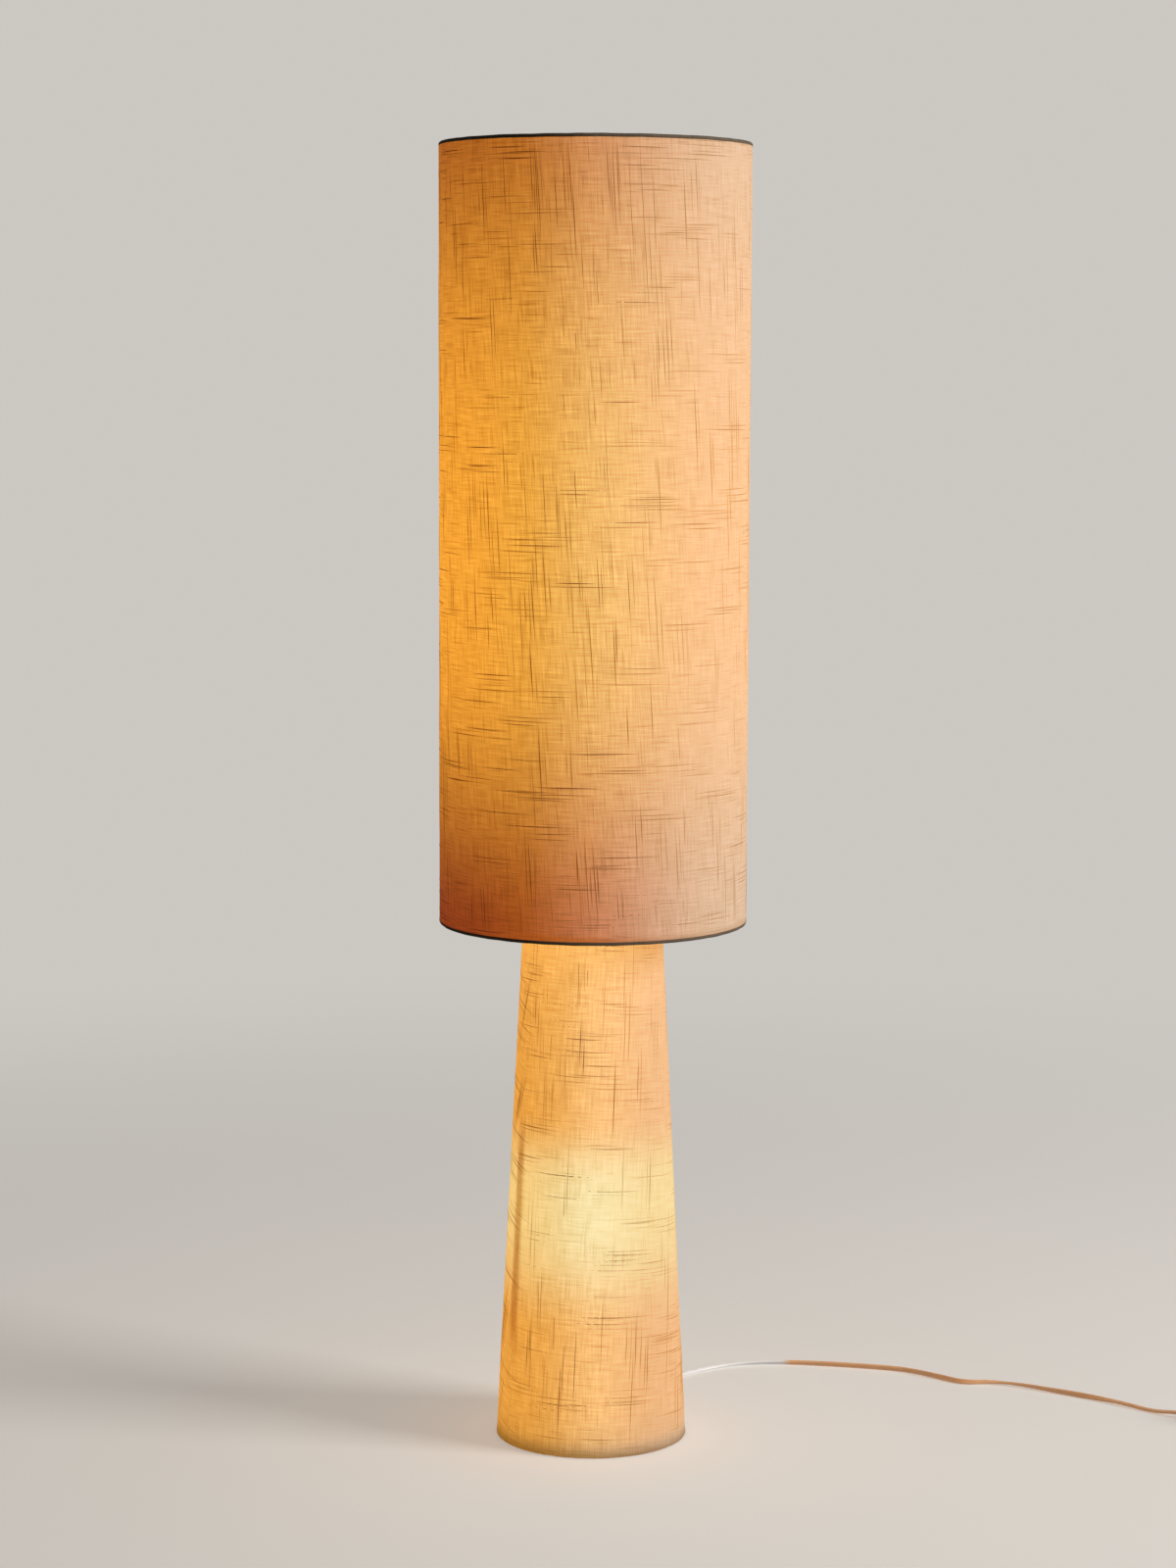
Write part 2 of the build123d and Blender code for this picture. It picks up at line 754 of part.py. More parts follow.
with BuildPart() as switch_lower_case:
    with BuildSketch(switch_floor.offset(switch_pad_height)):
        SlotOverall(switch_length, switch_width)
    extrude(amount=switch_split - switch_pad_height)
    chamfer(switch_lower_case.faces().sort_by(Axis.Z)[0].edges(), 1)
    with BuildSketch(switch_floor.offset(switch_pad_height + switch_wall)):
        SlotOverall(switch_length - 2 * switch_wall, switch_width - 2 * switch_wall)
    extrude(amount=switch_split, mode=Mode.SUBTRACT)
    with BuildSketch(switch_floor.offset(switch_pad_height)):
        with Locations((-boss_distance, 0), (boss_distance, 0)):
            Circle(low_boss_radius)
    extrude(amount=switch_split - switch_pad_height)
    with BuildSketch(switch_floor.offset(switch_pad_height)):
        with Locations((-boss_distance, 0), (boss_distance, 0)):
            Circle(switch_screw_radius + 0.35)
    extrude(amount=switch_split, mode=Mode.SUBTRACT)
    with BuildSketch(switch_floor.offset(switch_pad_height)):
        with Locations((-boss_distance, 0), (boss_distance, 0)):
            Circle(switch_screw_head + 0.3)
    extrude(amount=boss_seat - switch_pad_height, mode=Mode.SUBTRACT)
    add(neck_holes.part, mode=Mode.SUBTRACT)

with BuildPart() as switch_upper_case:
    with BuildSketch(switch_floor.offset(switch_split)):
        SlotOverall(switch_length, switch_width)
    extrude(amount=switch_top - switch_split)
    fillet(switch_upper_case.faces().sort_by(Axis.Z)[-1].edges(), switch_edge)
    with BuildSketch(switch_floor.offset(switch_split)):
        SlotOverall(switch_length - 2 * switch_wall, switch_width - 2 * switch_wall)
    extrude(amount=switch_top - switch_split - switch_edge, mode=Mode.SUBTRACT)
    with BuildSketch(switch_floor.offset(switch_top - switch_edge)):
        SlotOverall(switch_length - 2 * (switch_edge + 1), switch_width - 2 * (switch_edge + 1))
    extrude(amount=switch_edge - switch_wall, mode=Mode.SUBTRACT)
    with BuildSketch(switch_floor.offset(switch_split)):
        with Locations((-boss_distance, 0), (boss_distance, 0)):
            Circle(high_boss_radius)
    extrude(amount=switch_top - switch_wall - switch_split)
    with BuildSketch(switch_floor.offset(switch_split)):
        with Locations((-boss_distance, 0), (boss_distance, 0)):
            Circle(switch_screw_radius + screw_play)
    extrude(amount=switch_screw_rise + 1, mode=Mode.SUBTRACT)
    with BuildSketch(switch_floor.offset(switch_split)):
        Circle(button_radius + button_play)
    extrude(amount=switch_top, mode=Mode.SUBTRACT)
    add(neck_holes.part, mode=Mode.SUBTRACT)

with BuildPart() as switch_screws:
    with BuildSketch(switch_floor.offset(boss_seat)):
        with Locations((-boss_distance, 0), (boss_distance, 0)):
            Circle(switch_screw_radius)
    extrude(amount=switch_split + switch_screw_rise - boss_seat)
    with BuildSketch(switch_floor.offset(switch_head_low)):
        with Locations((-boss_distance, 0), (boss_distance, 0)):
            Circle(switch_screw_head)
    extrude(amount=switch_head_height)

with BuildPart() as switch_mechanism:
    with BuildSketch(switch_floor.offset(switch_pad_height + switch_wall)):
        Rectangle(mechanism_length, mechanism_width)
    extrude(amount=mechanism_top - switch_pad_height - switch_wall)
    chamfer(switch_mechanism.faces().sort_by(Axis.Z)[-1].edges(), 1)

with BuildPart() as switch_button:
    with BuildSketch(switch_floor.offset(button_flange_low)):
        Circle(button_radius + button_flange)
    extrude(amount=switch_wall)
    with BuildSketch(switch_floor.offset(button_flange_low)):
        Circle(button_radius)
    extrude(amount=button_top - button_flange_low)
    fillet(switch_button.faces().sort_by(Axis.Z)[-1].edges(), button_fillet)
    with BuildSketch(switch_floor.offset(button_flange_low)):
        Circle(spring_radius + 2)
    extrude(amount=spring_top - button_flange_low, mode=Mode.SUBTRACT)

with BuildPart() as switch_glands:
    for way in (-1, 1):
        outer = way * switch_length / 2
        inner = outer - way * (switch_wall + 2.5)
        tip = outer + way * neck_reach
        with BuildSketch(switch_section):
            with BuildLine():
                Polyline(
                    (inner, switch_entry_height), (inner, switch_entry_height + neck_radius - 0.1),
                    (outer + way, switch_entry_height + neck_radius - 0.1),
                    (tip, switch_entry_height + cord_radius + 0.3), (tip, switch_entry_height),
                    close=True,
                )
            make_face()
        revolve(axis=Axis((switch_middle.X, switch_middle.Y, switch_entry_height), switch_way))


# Wound forms: half turns, each a half circle that starts and ends level
def wound(start, way, radii, climbs):
    """Middles and ends of left-hand half turns: a climbing one is tilted about its start."""
    turns, here = [], start
    for radius, climb in zip(radii, climbs):
        lean = math.asin(climb / (2 * radius))
        inwards = Vector(-way.Y, way.X, 0) * math.cos(lean) + Vector(0, 0, math.sin(lean))
        turns.append((here, way, inwards, radius))
        here = here + inwards * (2 * radius)
        way = way * -1
    return turns, here, way


def least_gap(turns, wire, samples=36):
    """Least distance from the wound wire's surface to itself, measured on points a turn or so apart."""
    line = []
    for here, way, inwards, radius in turns:
        for step in range(samples):
            angle = math.pi * step / samples
            line.append(here + inwards * (radius * (1 - math.cos(angle)))
                        + way * (radius * math.sin(angle)))
    apart = samples
    gaps = [(one - two).length for i, one in enumerate(line) for two in line[i + apart:]]
    return min(gaps) - 2 * wire


def wound_tube(name, start, way, radii, climbs, wire, lead_in):
    """A tube wound in half turns, with straight ends as long as it is thick."""
    turns, here, last_way = wound(start, way, radii, climbs)
    with BuildPart() as tube:
        with BuildLine() as route:
            if lead_in:
                Line(start - way * lead_in, start)
            for begin, along, inwards, radius in turns:
                ThreePointArc(begin, begin + inwards * radius + along * radius,
                              begin + inwards * (2 * radius))
            if lead_in:
                Line(here, here + last_way * lead_in)
        path = route.wires()[0]
        with BuildSketch(Plane(origin=path @ 0, z_dir=path % 0)):
            Circle(wire)
        sweep(path=path)
    share = tube.part.volume / (math.pi * wire**2 * path.length)
    print(name, "length", round(path.length, 1), "least gap", round(least_gap(turns, wire), 2),
          "volume share", round(share, 4))
    return tube, here + last_way * lead_in, last_way


spring_half_turns = 12
spring_play = 0.1
spring_low = mechanism_top + spring_wire + spring_play
spring_climb = (spring_top - spring_wire - spring_play - spring_low) / spring_half_turns
switch_spring, _, _ = wound_tube(
    "switch_spring", switch_middle + Vector(0, -spring_radius, spring_low), Vector(1, 0, 0),
    [spring_radius] * spring_half_turns, [spring_climb] * spring_half_turns, spring_wire, 0,
)

# The cord's stretches: its way on the floor, seen in the photograph as far as (688, 61)
kink_height = 4.5
switch_reach = switch_way * (switch_length / 2 + neck_reach)
switch_in = switch_middle - switch_reach + Vector(0, 0, switch_entry_height)
switch_out = switch_middle + switch_reach + Vector(0, 0, switch_entry_height)
cord_run = laid_tube("cord_run", [
    along_exit(gland_tip, exit_height), along_exit(152, exit_height), (74, 180, cord_floor),
    (102, 218, cord_floor), (138, 252, cord_floor), (184, 276, cord_floor), (238, 280, cord_floor),
    (292, 272, cord_floor), (344, 261, cord_floor), (390, 247, cord_floor), (423, 219, cord_floor),
    (452, 192, kink_height), (486, 197, kink_height), (522, 184, cord_floor), (560, 158, cord_floor),
    (600, 132, cord_floor), (636, 106, cord_floor), (664, 79, cord_floor),
    tuple(switch_in - switch_way * 22), tuple(switch_in),
], cord_radius)

coil_way = switch_way
coil_start = switch_out + coil_way * 52 + Vector(-3, -5, cord_floor - switch_entry_height)
coil_radii = [coil_radius - step * coil_pitch / 2 for step in range(coil_turns_in)]
coil_radii += [coil_radius - coil_turns_in * coil_pitch / 2] + coil_radii[::-1]
coil_climbs = [0] * coil_turns_in + [coil_pitch] + [0] * coil_turns_in
cord_coil, coil_end, coil_out = wound_tube(
    "cord_coil", coil_start, coil_way, coil_radii, coil_climbs, cord_radius, cord_width,
)

coil_in = coil_start - coil_way * cord_width
cord_link = laid_tube("cord_link", [
    tuple(switch_out), tuple(switch_out + coil_way * 14),
    tuple(coil_in - coil_way * 15), tuple(coil_in),
], cord_radius)

plug_turn = 14.0
plug_way = coil_out.rotate(Axis.Z, plug_turn)
plug_entry = coil_end + coil_out * 22 + plug_way * 16 + Vector(0, 0, plug_height - coil_end.Z)
cord_tail = laid_tube("cord_tail", [
    tuple(coil_end), tuple(coil_end + coil_out * 12),
    tuple(plug_entry - plug_way * 13), tuple(plug_entry),
], cord_radius)

# Flat two-pin plug
plug_thickness = 13.5
plug_width = 35.3
plug_neck = 14.0
plug_length = 36.0
pin_radius = 2.0
pin_reach = 19.0
pin_side = 9.3
pin_fillet = 1.2
plug_shoulder = 11.0
plug_nose = 7.0
plug_side = plug_width / 2
plug_end = plug_neck + plug_length
plug_section = Plane(origin=plug_entry, x_dir=plug_way, z_dir=(plug_way.Y, -plug_way.X, 0))
plug_plan = Plane(origin=plug_entry, x_dir=plug_way, z_dir=(0, 0, 1))
with BuildPart() as plug_body:
    with BuildSketch(plug_plan.offset(-plug_thickness / 2)):
        with BuildLine():
            Polyline(
                (plug_neck, -plug_nose), (plug_neck + plug_shoulder, -plug_side),
                (plug_end, -plug_side),
                (plug_end, plug_side), (plug_neck + plug_shoulder, plug_side), (plug_neck, plug_nose),
                close=True,
            )
        make_face()
    extrude(amount=plug_thickness)
    fillet(plug_body.edges().filter_by(Axis.Z), 2.5)
    fillet(plug_body.faces().filter_by(Axis.Z).edges(), 1.5)
    with BuildSketch(plug_section):
        with BuildLine():
            Polyline((0, 0), (0, cord_radius + tip_wall), (plug_neck + 2, 5.2), (plug_neck + 2, 0),
                     close=True)
        make_face()
    revolve(axis=Axis(plug_entry, plug_way))

with BuildPart() as plug_pins:
    with BuildSketch(Plane(origin=plug_entry + plug_way * plug_end, x_dir=(-plug_way.Y, plug_way.X, 0),
                           z_dir=plug_way)):
        with Locations((-pin_side, 0), (pin_side, 0)):
            Circle(pin_radius)
    extrude(amount=pin_reach)
    fillet(plug_pins.faces().sort_by(Axis(plug_entry, plug_way))[-2:].edges(), pin_fillet)

pieces = {
    "base_plate": base_plate, "foot_pads": foot_pads, "stem_flange": stem_flange,
    "flange_screws": flange_screws, "stem": stem, "top_seat": top_seat, "seat_nuts": seat_nuts,
    "lower_bracket": lower_bracket, "bracket_screw": bracket_screw, "lower_nipple": lower_nipple,
    "nipple_nut": nipple_nut, "upper_nipple": upper_nipple, **lamp_pieces,
    "inner_cord": inner_cord, "cord_gland": cord_gland, "cord_clamp": cord_clamp,
    "clamp_screws": clamp_screws, "terminal_block": terminal_block, "stem_lead": stem_lead,
    "lower_lead": lower_lead, "base_fabric": base_fabric, "base_liner": base_liner,
    "base_seam_tape": base_seam_tape, "base_top_spider": base_top_spider,
    "base_top_ring": base_top_ring, "base_top_hem": base_top_hem, "base_bottom_ring": base_bottom_ring,
    "shade_fabric": shade_fabric, "shade_liner": shade_liner, "shade_seam_tape": shade_seam_tape,
    "shade_top_ring": shade_top_ring, "shade_top_hem": shade_top_hem,
    "shade_bottom_ring": shade_bottom_ring, "shade_bottom_hem": shade_bottom_hem,
    "shade_arms": shade_arms, "shade_hub": shade_hub, "switch_pad": switch_pad,
    "switch_lower_case": switch_lower_case, "switch_upper_case": switch_upper_case,
    "switch_mechanism": switch_mechanism, "switch_spring": switch_spring,
    "switch_button": switch_button, "switch_screws": switch_screws, "switch_glands": switch_glands,
    "cord_run": cord_run, "cord_link": cord_link, "cord_coil": cord_coil, "cord_tail": cord_tail,
    "plug_body": plug_body, "plug_pins": plug_pins,
}
for name, piece in pieces.items():
    piece.part.label = name
    export_step(piece.part, f"parts/{name}.step")
print(len(pieces), "nodes written")
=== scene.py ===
# %% [markdown]
# A floor lamp of two lit parts. A tall drum shade of raw linen stands on a narrow cone of
# the same cloth, and a clear twin flex runs off over the floor to its foot switch and plug.
# The measured solids come in first and stay fixed, so all that is dressed here keeps to
# their places. Lengths are in metres, the lamp stands at the origin, its front towards -Y.

# %% Load the measured lamp
import json
import math
import random

import bpy
from mathutils import Matrix, Vector, noise


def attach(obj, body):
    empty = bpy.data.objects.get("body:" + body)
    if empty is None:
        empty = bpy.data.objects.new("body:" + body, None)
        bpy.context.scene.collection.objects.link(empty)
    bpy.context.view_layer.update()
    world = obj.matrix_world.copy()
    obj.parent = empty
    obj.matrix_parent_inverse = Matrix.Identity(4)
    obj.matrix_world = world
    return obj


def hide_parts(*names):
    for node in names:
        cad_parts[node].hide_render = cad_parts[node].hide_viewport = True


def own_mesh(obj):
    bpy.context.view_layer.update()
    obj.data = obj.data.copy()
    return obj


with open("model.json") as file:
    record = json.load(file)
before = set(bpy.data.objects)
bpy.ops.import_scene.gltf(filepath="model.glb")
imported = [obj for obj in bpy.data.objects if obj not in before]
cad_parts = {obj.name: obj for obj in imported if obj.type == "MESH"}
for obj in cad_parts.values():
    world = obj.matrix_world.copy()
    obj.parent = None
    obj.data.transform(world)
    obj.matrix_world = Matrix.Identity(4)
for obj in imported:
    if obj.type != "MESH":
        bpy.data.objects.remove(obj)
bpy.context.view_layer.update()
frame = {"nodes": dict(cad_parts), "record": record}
nodes = frame["nodes"]
scene = bpy.context.scene

# %% [markdown]
# The camera stands four metres off, a little above the bulb, and looks slightly down, so both
# rims of the shade read as thin ellipses. A long lens keeps the upright edges parallel. The
# film is measured along the picture's height, because the picture is taller than it is wide.

# %% Place the camera
image_height = 1600
focal_pixels = 3645.1
film_height = 36.0  # mm
camera_spot = Vector((-0.00595, -4.03365, 1.2274))
look_down = 0.1163
camera_roll = 0.0035

lens = bpy.data.cameras.new("front_camera")
lens.sensor_fit = "VERTICAL"
lens.sensor_height = film_height
lens.lens = focal_pixels / image_height * film_height
camera = bpy.data.objects.new("front_camera", lens)
scene.collection.objects.link(camera)
camera.matrix_world = (Matrix.Translation(camera_spot)
                       @ Matrix.Rotation(math.pi / 2 - look_down, 4, "X")
                       @ Matrix.Rotation(camera_roll, 4, "Z"))
scene.camera = camera
print("lens", round(lens.lens, 2), "mm")

# %% [markdown]
# Every dressed piece is a mesh of plain points and faces, so one small helper makes them all.
# It takes the points, the faces and, where cloth or flex needs them, two surface lengths for
# each corner, which the weave and the strands are drawn along.

# %% Make a piece from points and faces
def mesh_piece(name, points, faces, lengths=None):
    mesh = bpy.data.meshes.new(name)
    mesh.from_pydata([tuple(point) for point in points], [], faces)
    if lengths is not None:
        layer = mesh.uv_layers.new(name="surface_lengths")
        for loop, pair in zip(layer.data, lengths):
            loop.uv = pair
    for face in mesh.polygons:
        face.use_smooth = True
    mesh.validate()
    piece = bpy.data.objects.new(name, mesh)
    scene.collection.objects.link(piece)
    return piece


def tube_faces(rings, across):
    """Faces between rings of points that follow each other, with the two ends closed."""
    faces = []
    for ring in range(rings - 1):
        for place in range(across):
            after = (place + 1) % across
            faces.append((ring * across + place, ring * across + after,
                          (ring + 1) * across + after, (ring + 1) * across + place))
    faces.append(tuple(range(across))[::-1])
    faces.append(tuple((rings - 1) * across + place for place in range(across)))
    return faces


# %% [markdown]
# The flex is a flat clear twin lead, two stranded cores side by side. It leaves the cover at
# the back, comes round over the floor, is kinked by a hand's width past the cover's right, and
# goes on to the foot switch and a neat coil under the plug. Its line could be drawn as arcs,
# but a loose flex never lies in arcs. A smooth line that is drawn towards a few points bends
# as the flex does.

# %% Lay the two lines of the flex
flat_lie = 0.0020
turned_lie = 0.0035
gland_mouth = 0.0048
flex_width = 0.0068
notch_angle = math.radians(70)
switch_angle = math.radians(-30)
switch_middle = Vector((0.758, 0.022, 0))
switch_mouth = 0.0065
switch_reach = 0.054
gland_reach = 0.130
straight_reach = 0.152


def at_angle(angle, radius, height):
    return radius * math.cos(angle), radius * math.sin(angle), height


def lifted(place, height):
    return place + Vector((0, 0, height))


exit_way, switch_way = Vector(at_angle(notch_angle, 1, 0)), Vector(at_angle(switch_angle, 1, 0))
switch_in = lifted(switch_middle - switch_way * switch_reach, switch_mouth)
switch_out = lifted(switch_middle + switch_way * switch_reach, switch_mouth)
gland_out = lifted(exit_way * gland_reach, gland_mouth)
turned_stretch = (
    (0.184, 0.276), (0.238, 0.280), (0.292, 0.272), (0.344, 0.261), (0.390, 0.247), (0.423, 0.219),
    (0.452, 0.192), (0.486, 0.197), (0.522, 0.184), (0.560, 0.158), (0.600, 0.132), (0.636, 0.106))
to_switch = [
    gland_out, lifted(exit_way * straight_reach, gland_mouth), (0.074, 0.180, flat_lie),
    (0.102, 0.218, flat_lie), (0.138, 0.252, flat_lie),
    *[(x, y, turned_lie) for x, y in turned_stretch], (0.664, 0.079, flat_lie),
    switch_in - switch_way * 0.022, switch_in,
]
print("flex leaves at", [round(x, 4) for x in gland_out], "for", [round(x, 4) for x in switch_in])

# %% [markdown]
# What the picture doesn't show of the flex is wound up beside the switch: five turns inwards
# on the floor, then back out on top of them, and the plug lies at the end. Each half turn is
# eight points on its own circle, and its circle is a little smaller than the one before.

# %% Wind the put-away coil
half_turn_points = 8
coil_radii = [0.037, 0.033325, 0.02965, 0.025975, 0.0223, 0.018625,
              0.0223, 0.025975, 0.02965, 0.033325, 0.037]
climbing_turn = 5
layer_rise = 0.0039
link_reach = 0.052
coil_start = switch_out + switch_way * link_reach + Vector((-0.003, -0.005, flat_lie - switch_mouth))
turn_step = math.pi / half_turn_points
spare = 1 / math.cos(turn_step / 2)

coil = []
here, way = coil_start.copy(), switch_way.copy()
for turn, radius in enumerate(coil_radii):
    inwards = Vector((-way.y, way.x, 0))
    middle = here + inwards * radius
    for step in range(half_turn_points):
        angle = (step + 0.5) * turn_step
        rise = layer_rise * (step + 0.5) / half_turn_points if turn == climbing_turn else 0
        coil.append(lifted(middle - inwards * (radius * spare * math.cos(angle))
                           + way * (radius * spare * math.sin(angle)), rise))
    here = here + inwards * (2 * radius)
    if turn == climbing_turn:
        here.z += layer_rise
    way = -way

plug_mouth = 0.0068
plug_turn = math.radians(14)
plug_way = Matrix.Rotation(plug_turn, 3, "Z") @ way
coil_end = here + way * flex_width
plug_in = coil_end + way * 0.022 + plug_way * 0.016
plug_in.z = plug_mouth
before_plug = plug_in - plug_way * 0.013
leaving_coil = coil_end + way * 0.012
to_plug = [
    switch_out, switch_out + switch_way * 0.014,
    coil_start - switch_way * (flex_width + 0.015), coil_start - switch_way * flex_width,
    *coil, coil_end, leaving_coil, before_plug, plug_in,
]
print("coil points", len(coil), "plug at", [round(x, 4) for x in plug_in])

# %% [markdown]
# The flex has a fixed length, so its line has to be measured. Blender works out a smooth curve
# as fine points once it is turned into a mesh, and these points give the length, and later the
# places that the flex's section is carried through.

# %% Read the lines as fine points
def nurbs_points(name, points, fineness):
    """The points of a smooth line drawn towards these, as a curve with no thickness gives them."""
    curve = bpy.data.curves.new(name, "CURVE")
    curve.dimensions = "3D"
    line = curve.splines.new("NURBS")
    line.points.add(len(points) - 1)
    for control, point in zip(line.points, points):
        control.co = (*point, 1)
    line.order_u = 3
    line.use_endpoint_u = True
    line.resolution_u = fineness
    holder = bpy.data.objects.new(name, curve)
    scene.collection.objects.link(holder)
    drawn = bpy.data.meshes.new_from_object(holder)
    found = [vertex.co.copy() for vertex in drawn.vertices]
    bpy.data.objects.remove(holder)
    bpy.data.curves.remove(curve)
    bpy.data.meshes.remove(drawn)
    return found


def line_length(points):
    return sum((after - before).length for before, after in zip(points, points[1:]))


line_to_switch = nurbs_points("line_to_switch", to_switch, 24)
line_to_plug = nurbs_points("line_to_plug", to_plug, 8)
print("flex to switch", round(line_length(line_to_switch), 3), "m, to plug",
      round(line_length(line_to_plug), 3), "m")

# %% [markdown]
# The flex's section is two round lobes side by side. It is carried along the line with its long
# side level at first. Then it leans up on one lobe, so that both strands show one above the
# other, and past the kink it goes right over, as a twin flex does that was wound up the wrong
# way. Where it stands on its edge, its middle lies higher.

# %% Dress the lines with the twin section
lobe_radius = 0.0019
lobe_offset = 0.0015
lobe_points = 9
# how far along the flex, and how many degrees it has rolled there
roll_marks = [(0.0, 0), (0.19, 0), (0.25, 45), (0.34, 68), (0.44, 68), (0.535, 180), (0.61, 235),
              (0.70, 360), (1.0, 360)]

waist = math.acos(lobe_offset / lobe_radius)
section = []
for side in (1, -1):
    for place in range(lobe_points):
        angle = (math.pi - waist) * (2 * place / (lobe_points - 1) - 1)
        section.append((side * (lobe_offset + lobe_radius * math.cos(angle)),
                        side * lobe_radius * math.sin(angle), place / lobe_points))


def rolled(length):
    """How far the flex has rolled about its own line: evenly from mark to mark."""
    for (low, before), (high, after) in zip(roll_marks, roll_marks[1:]):
        if length <= high:
            return math.radians(before + (after - before) * (length - low) / (high - low))


def twin_flex(name, line, roll):
    points, around, along = [], [], []
    length = 0
    for index, point in enumerate(line):
        before, after = line[max(index - 1, 0)], line[min(index + 1, len(line) - 1)]
        length += (point - before).length
        tangent = (after - before).normalized()
        level = tangent.cross(Vector((0, 0, 1))).normalized()
        upward = level.cross(tangent)
        turn = roll(length)
        for across, height, share in section:
            points.append(point
                          + level * (across * math.cos(turn) - height * math.sin(turn))
                          + upward * (across * math.sin(turn) + height * math.cos(turn)))
            around.append(share)
            along.append(length)
    faces = tube_faces(len(line), len(section))
    lengths = []
    for face in faces:
        shares = [around[corner] for corner in face]
        for corner, share in zip(face, shares):
            seam = len(face) == 4 and max(shares) - share > 0.5
            lengths.append((share + 1 if seam else share, along[corner]))
    return mesh_piece(name, points, faces, lengths)


flex_to_switch = twin_flex("flex_to_switch", line_to_switch, rolled)
flex_to_plug = twin_flex("flex_to_plug", line_to_plug, lambda length: 0)
for piece, old in ((flex_to_switch, ["cord_run"]),
                   (flex_to_plug, ["cord_link", "cord_coil", "cord_tail"])):
    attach(piece, "stand")
    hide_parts(*old)

print("flex", len(flex_to_switch.data.polygons), len(flex_to_plug.data.polygons), "faces")

# %% [markdown]
# The cloth of the shade is one sheet wrapped round a stiff liner and joined at the back. It
# could be a bare cylinder, but real cloth keeps a slight unevenness that the light shows, so
# its wall is turned from a closed outline and then pushed in and out by a quarter of a
# millimetre at most. The wall is as thick as the cloth, so both its faces are real.

# %% Turn the cloth walls
def uneven(place, reach):
    """A soft random push, the same at each run, that never passes the reach."""
    return reach * max(-1, min(1, 1.6 * noise.noise(place)))


def turned_piece(name, outline, columns, push, start=0.0, flatten=None):
    """A piece turned about the lamp's axis. The outline is a closed row of (radius, height).
    flatten, if given, says where a spot of it lay on the flat cloth."""
    points, faces, lengths = [], [], []
    around = len(outline)
    run = [0.0]
    for (radius, height), (next_radius, next_height) in zip(outline, outline[1:] + outline[:1]):
        run.append(run[-1] + math.hypot(next_radius - radius, next_height - height))
    for column in range(columns):
        angle = start + 2 * math.pi * column / columns
        for row, (radius, height) in enumerate(outline):
            out, up = push(angle, radius, height, row)
            points.append(at_angle(angle, radius + out, height + up))
    mean_radius = sum(radius for radius, _ in outline) / around
    for column in range(columns):
        after = (column + 1) % columns
        left, right = (2 * math.pi * side / columns for side in (column, column + 1))
        for row in range(around):
            above = (row + 1) % around
            faces.append((column * around + row, after * around + row,
                          after * around + above, column * around + above))
            corners = ((left, row), (right, row), (right, row + 1), (left, row + 1))
            if flatten:
                beside = (left + right) / 2 + start
                lengths += [flatten(start + angle, beside, outline[place % around][0])
                            for angle, place in corners]
            else:
                lengths += [(angle * mean_radius, run[place]) for angle, place in corners]
    return mesh_piece(name, points, faces, lengths)


cloth = 0.0008
shade_radius = 0.175
shade_cloth_low = 0.602
shade_cloth_top = 1.471
shade_seam = math.radians(70)
cloth_columns = 288
shade_rows = 96
ripple = 0.00022


def wall(low, high, rows, radius_at, thickness):
    """The closed outline of a thin wall: up its outer face and down its inner one."""
    heights = [low + (high - low) * row / rows for row in range(rows + 1)]
    outside = [(radius_at(height), height) for height in heights]
    inside = [(radius_at(height) - thickness, height) for height in reversed(heights)]
    return outside + inside


def shade_ripple(angle, radius, height, row):
    place = Vector((radius * math.cos(angle) * 9, radius * math.sin(angle) * 9, height * 5))
    return -ripple + uneven(place, ripple), 0


shade_outline = wall(shade_cloth_low, shade_cloth_top, shade_rows, lambda height: shade_radius, cloth)
shade_cloth = turned_piece("shade_cloth", shade_outline, cloth_columns, shade_ripple, shade_seam)
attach(shade_cloth, "shade")
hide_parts("shade_fabric")
print("shade cloth", len(shade_cloth.data.polygons), "faces")

# %% [markdown]
# The cover is cut flat, as part of a wide ring, and closed to a cone at its lap. Its threads are
# straight on the flat cloth, so on the cone they turn slowly from one edge of the lap round to
# the other. They lie level only at one place, at the left front, a little way on from the lap.

# %% The cone of the cover, with its notch for the flex
foot_radius = 0.1095
head_radius = 0.0775
cover_low = 0.0008
cover_top = 0.640
cover_cloth_top = 0.6360
notch_half = 0.0048
notch_top = 0.0098
cover_rows = 70
first_row = 0.0105
lap_angle = math.radians(-151)
level_angle = math.radians(-135)
cone_share = (foot_radius - head_radius) / math.hypot(foot_radius - head_radius, cover_top)


def cone_radius(height):
    return foot_radius + (head_radius - foot_radius) * height / cover_top


def grain_turn(angle, beside=None):
    """How far the threads have turned at this angle, counted on from the lap without a jump."""
    beside = angle if beside is None else beside
    turns = math.floor((beside - lap_angle) / (2 * math.pi))
    return (angle - 2 * math.pi * turns - level_angle) * cone_share


def cone_to_flat(angle, beside, radius):
    """Where a spot of the cone lay on the flat cloth, as lengths across it and up it."""
    turn = grain_turn(angle, beside)
    from_apex = radius / cone_share
    return from_apex * math.sin(turn), -from_apex * math.cos(turn)


def cover_ripple(angle, radius, height, row):
    place = Vector((radius * math.cos(angle) * 14, radius * math.sin(angle) * 14, height * 6 + 5))
    up = 0
    if height < first_row / 2:
        away = math.remainder(angle - notch_angle, 2 * math.pi) * radius
        up = notch_top - height if abs(away) < notch_half else uneven(place * 9, 0.0005)
    return -ripple + uneven(place, ripple), max(up, 0)


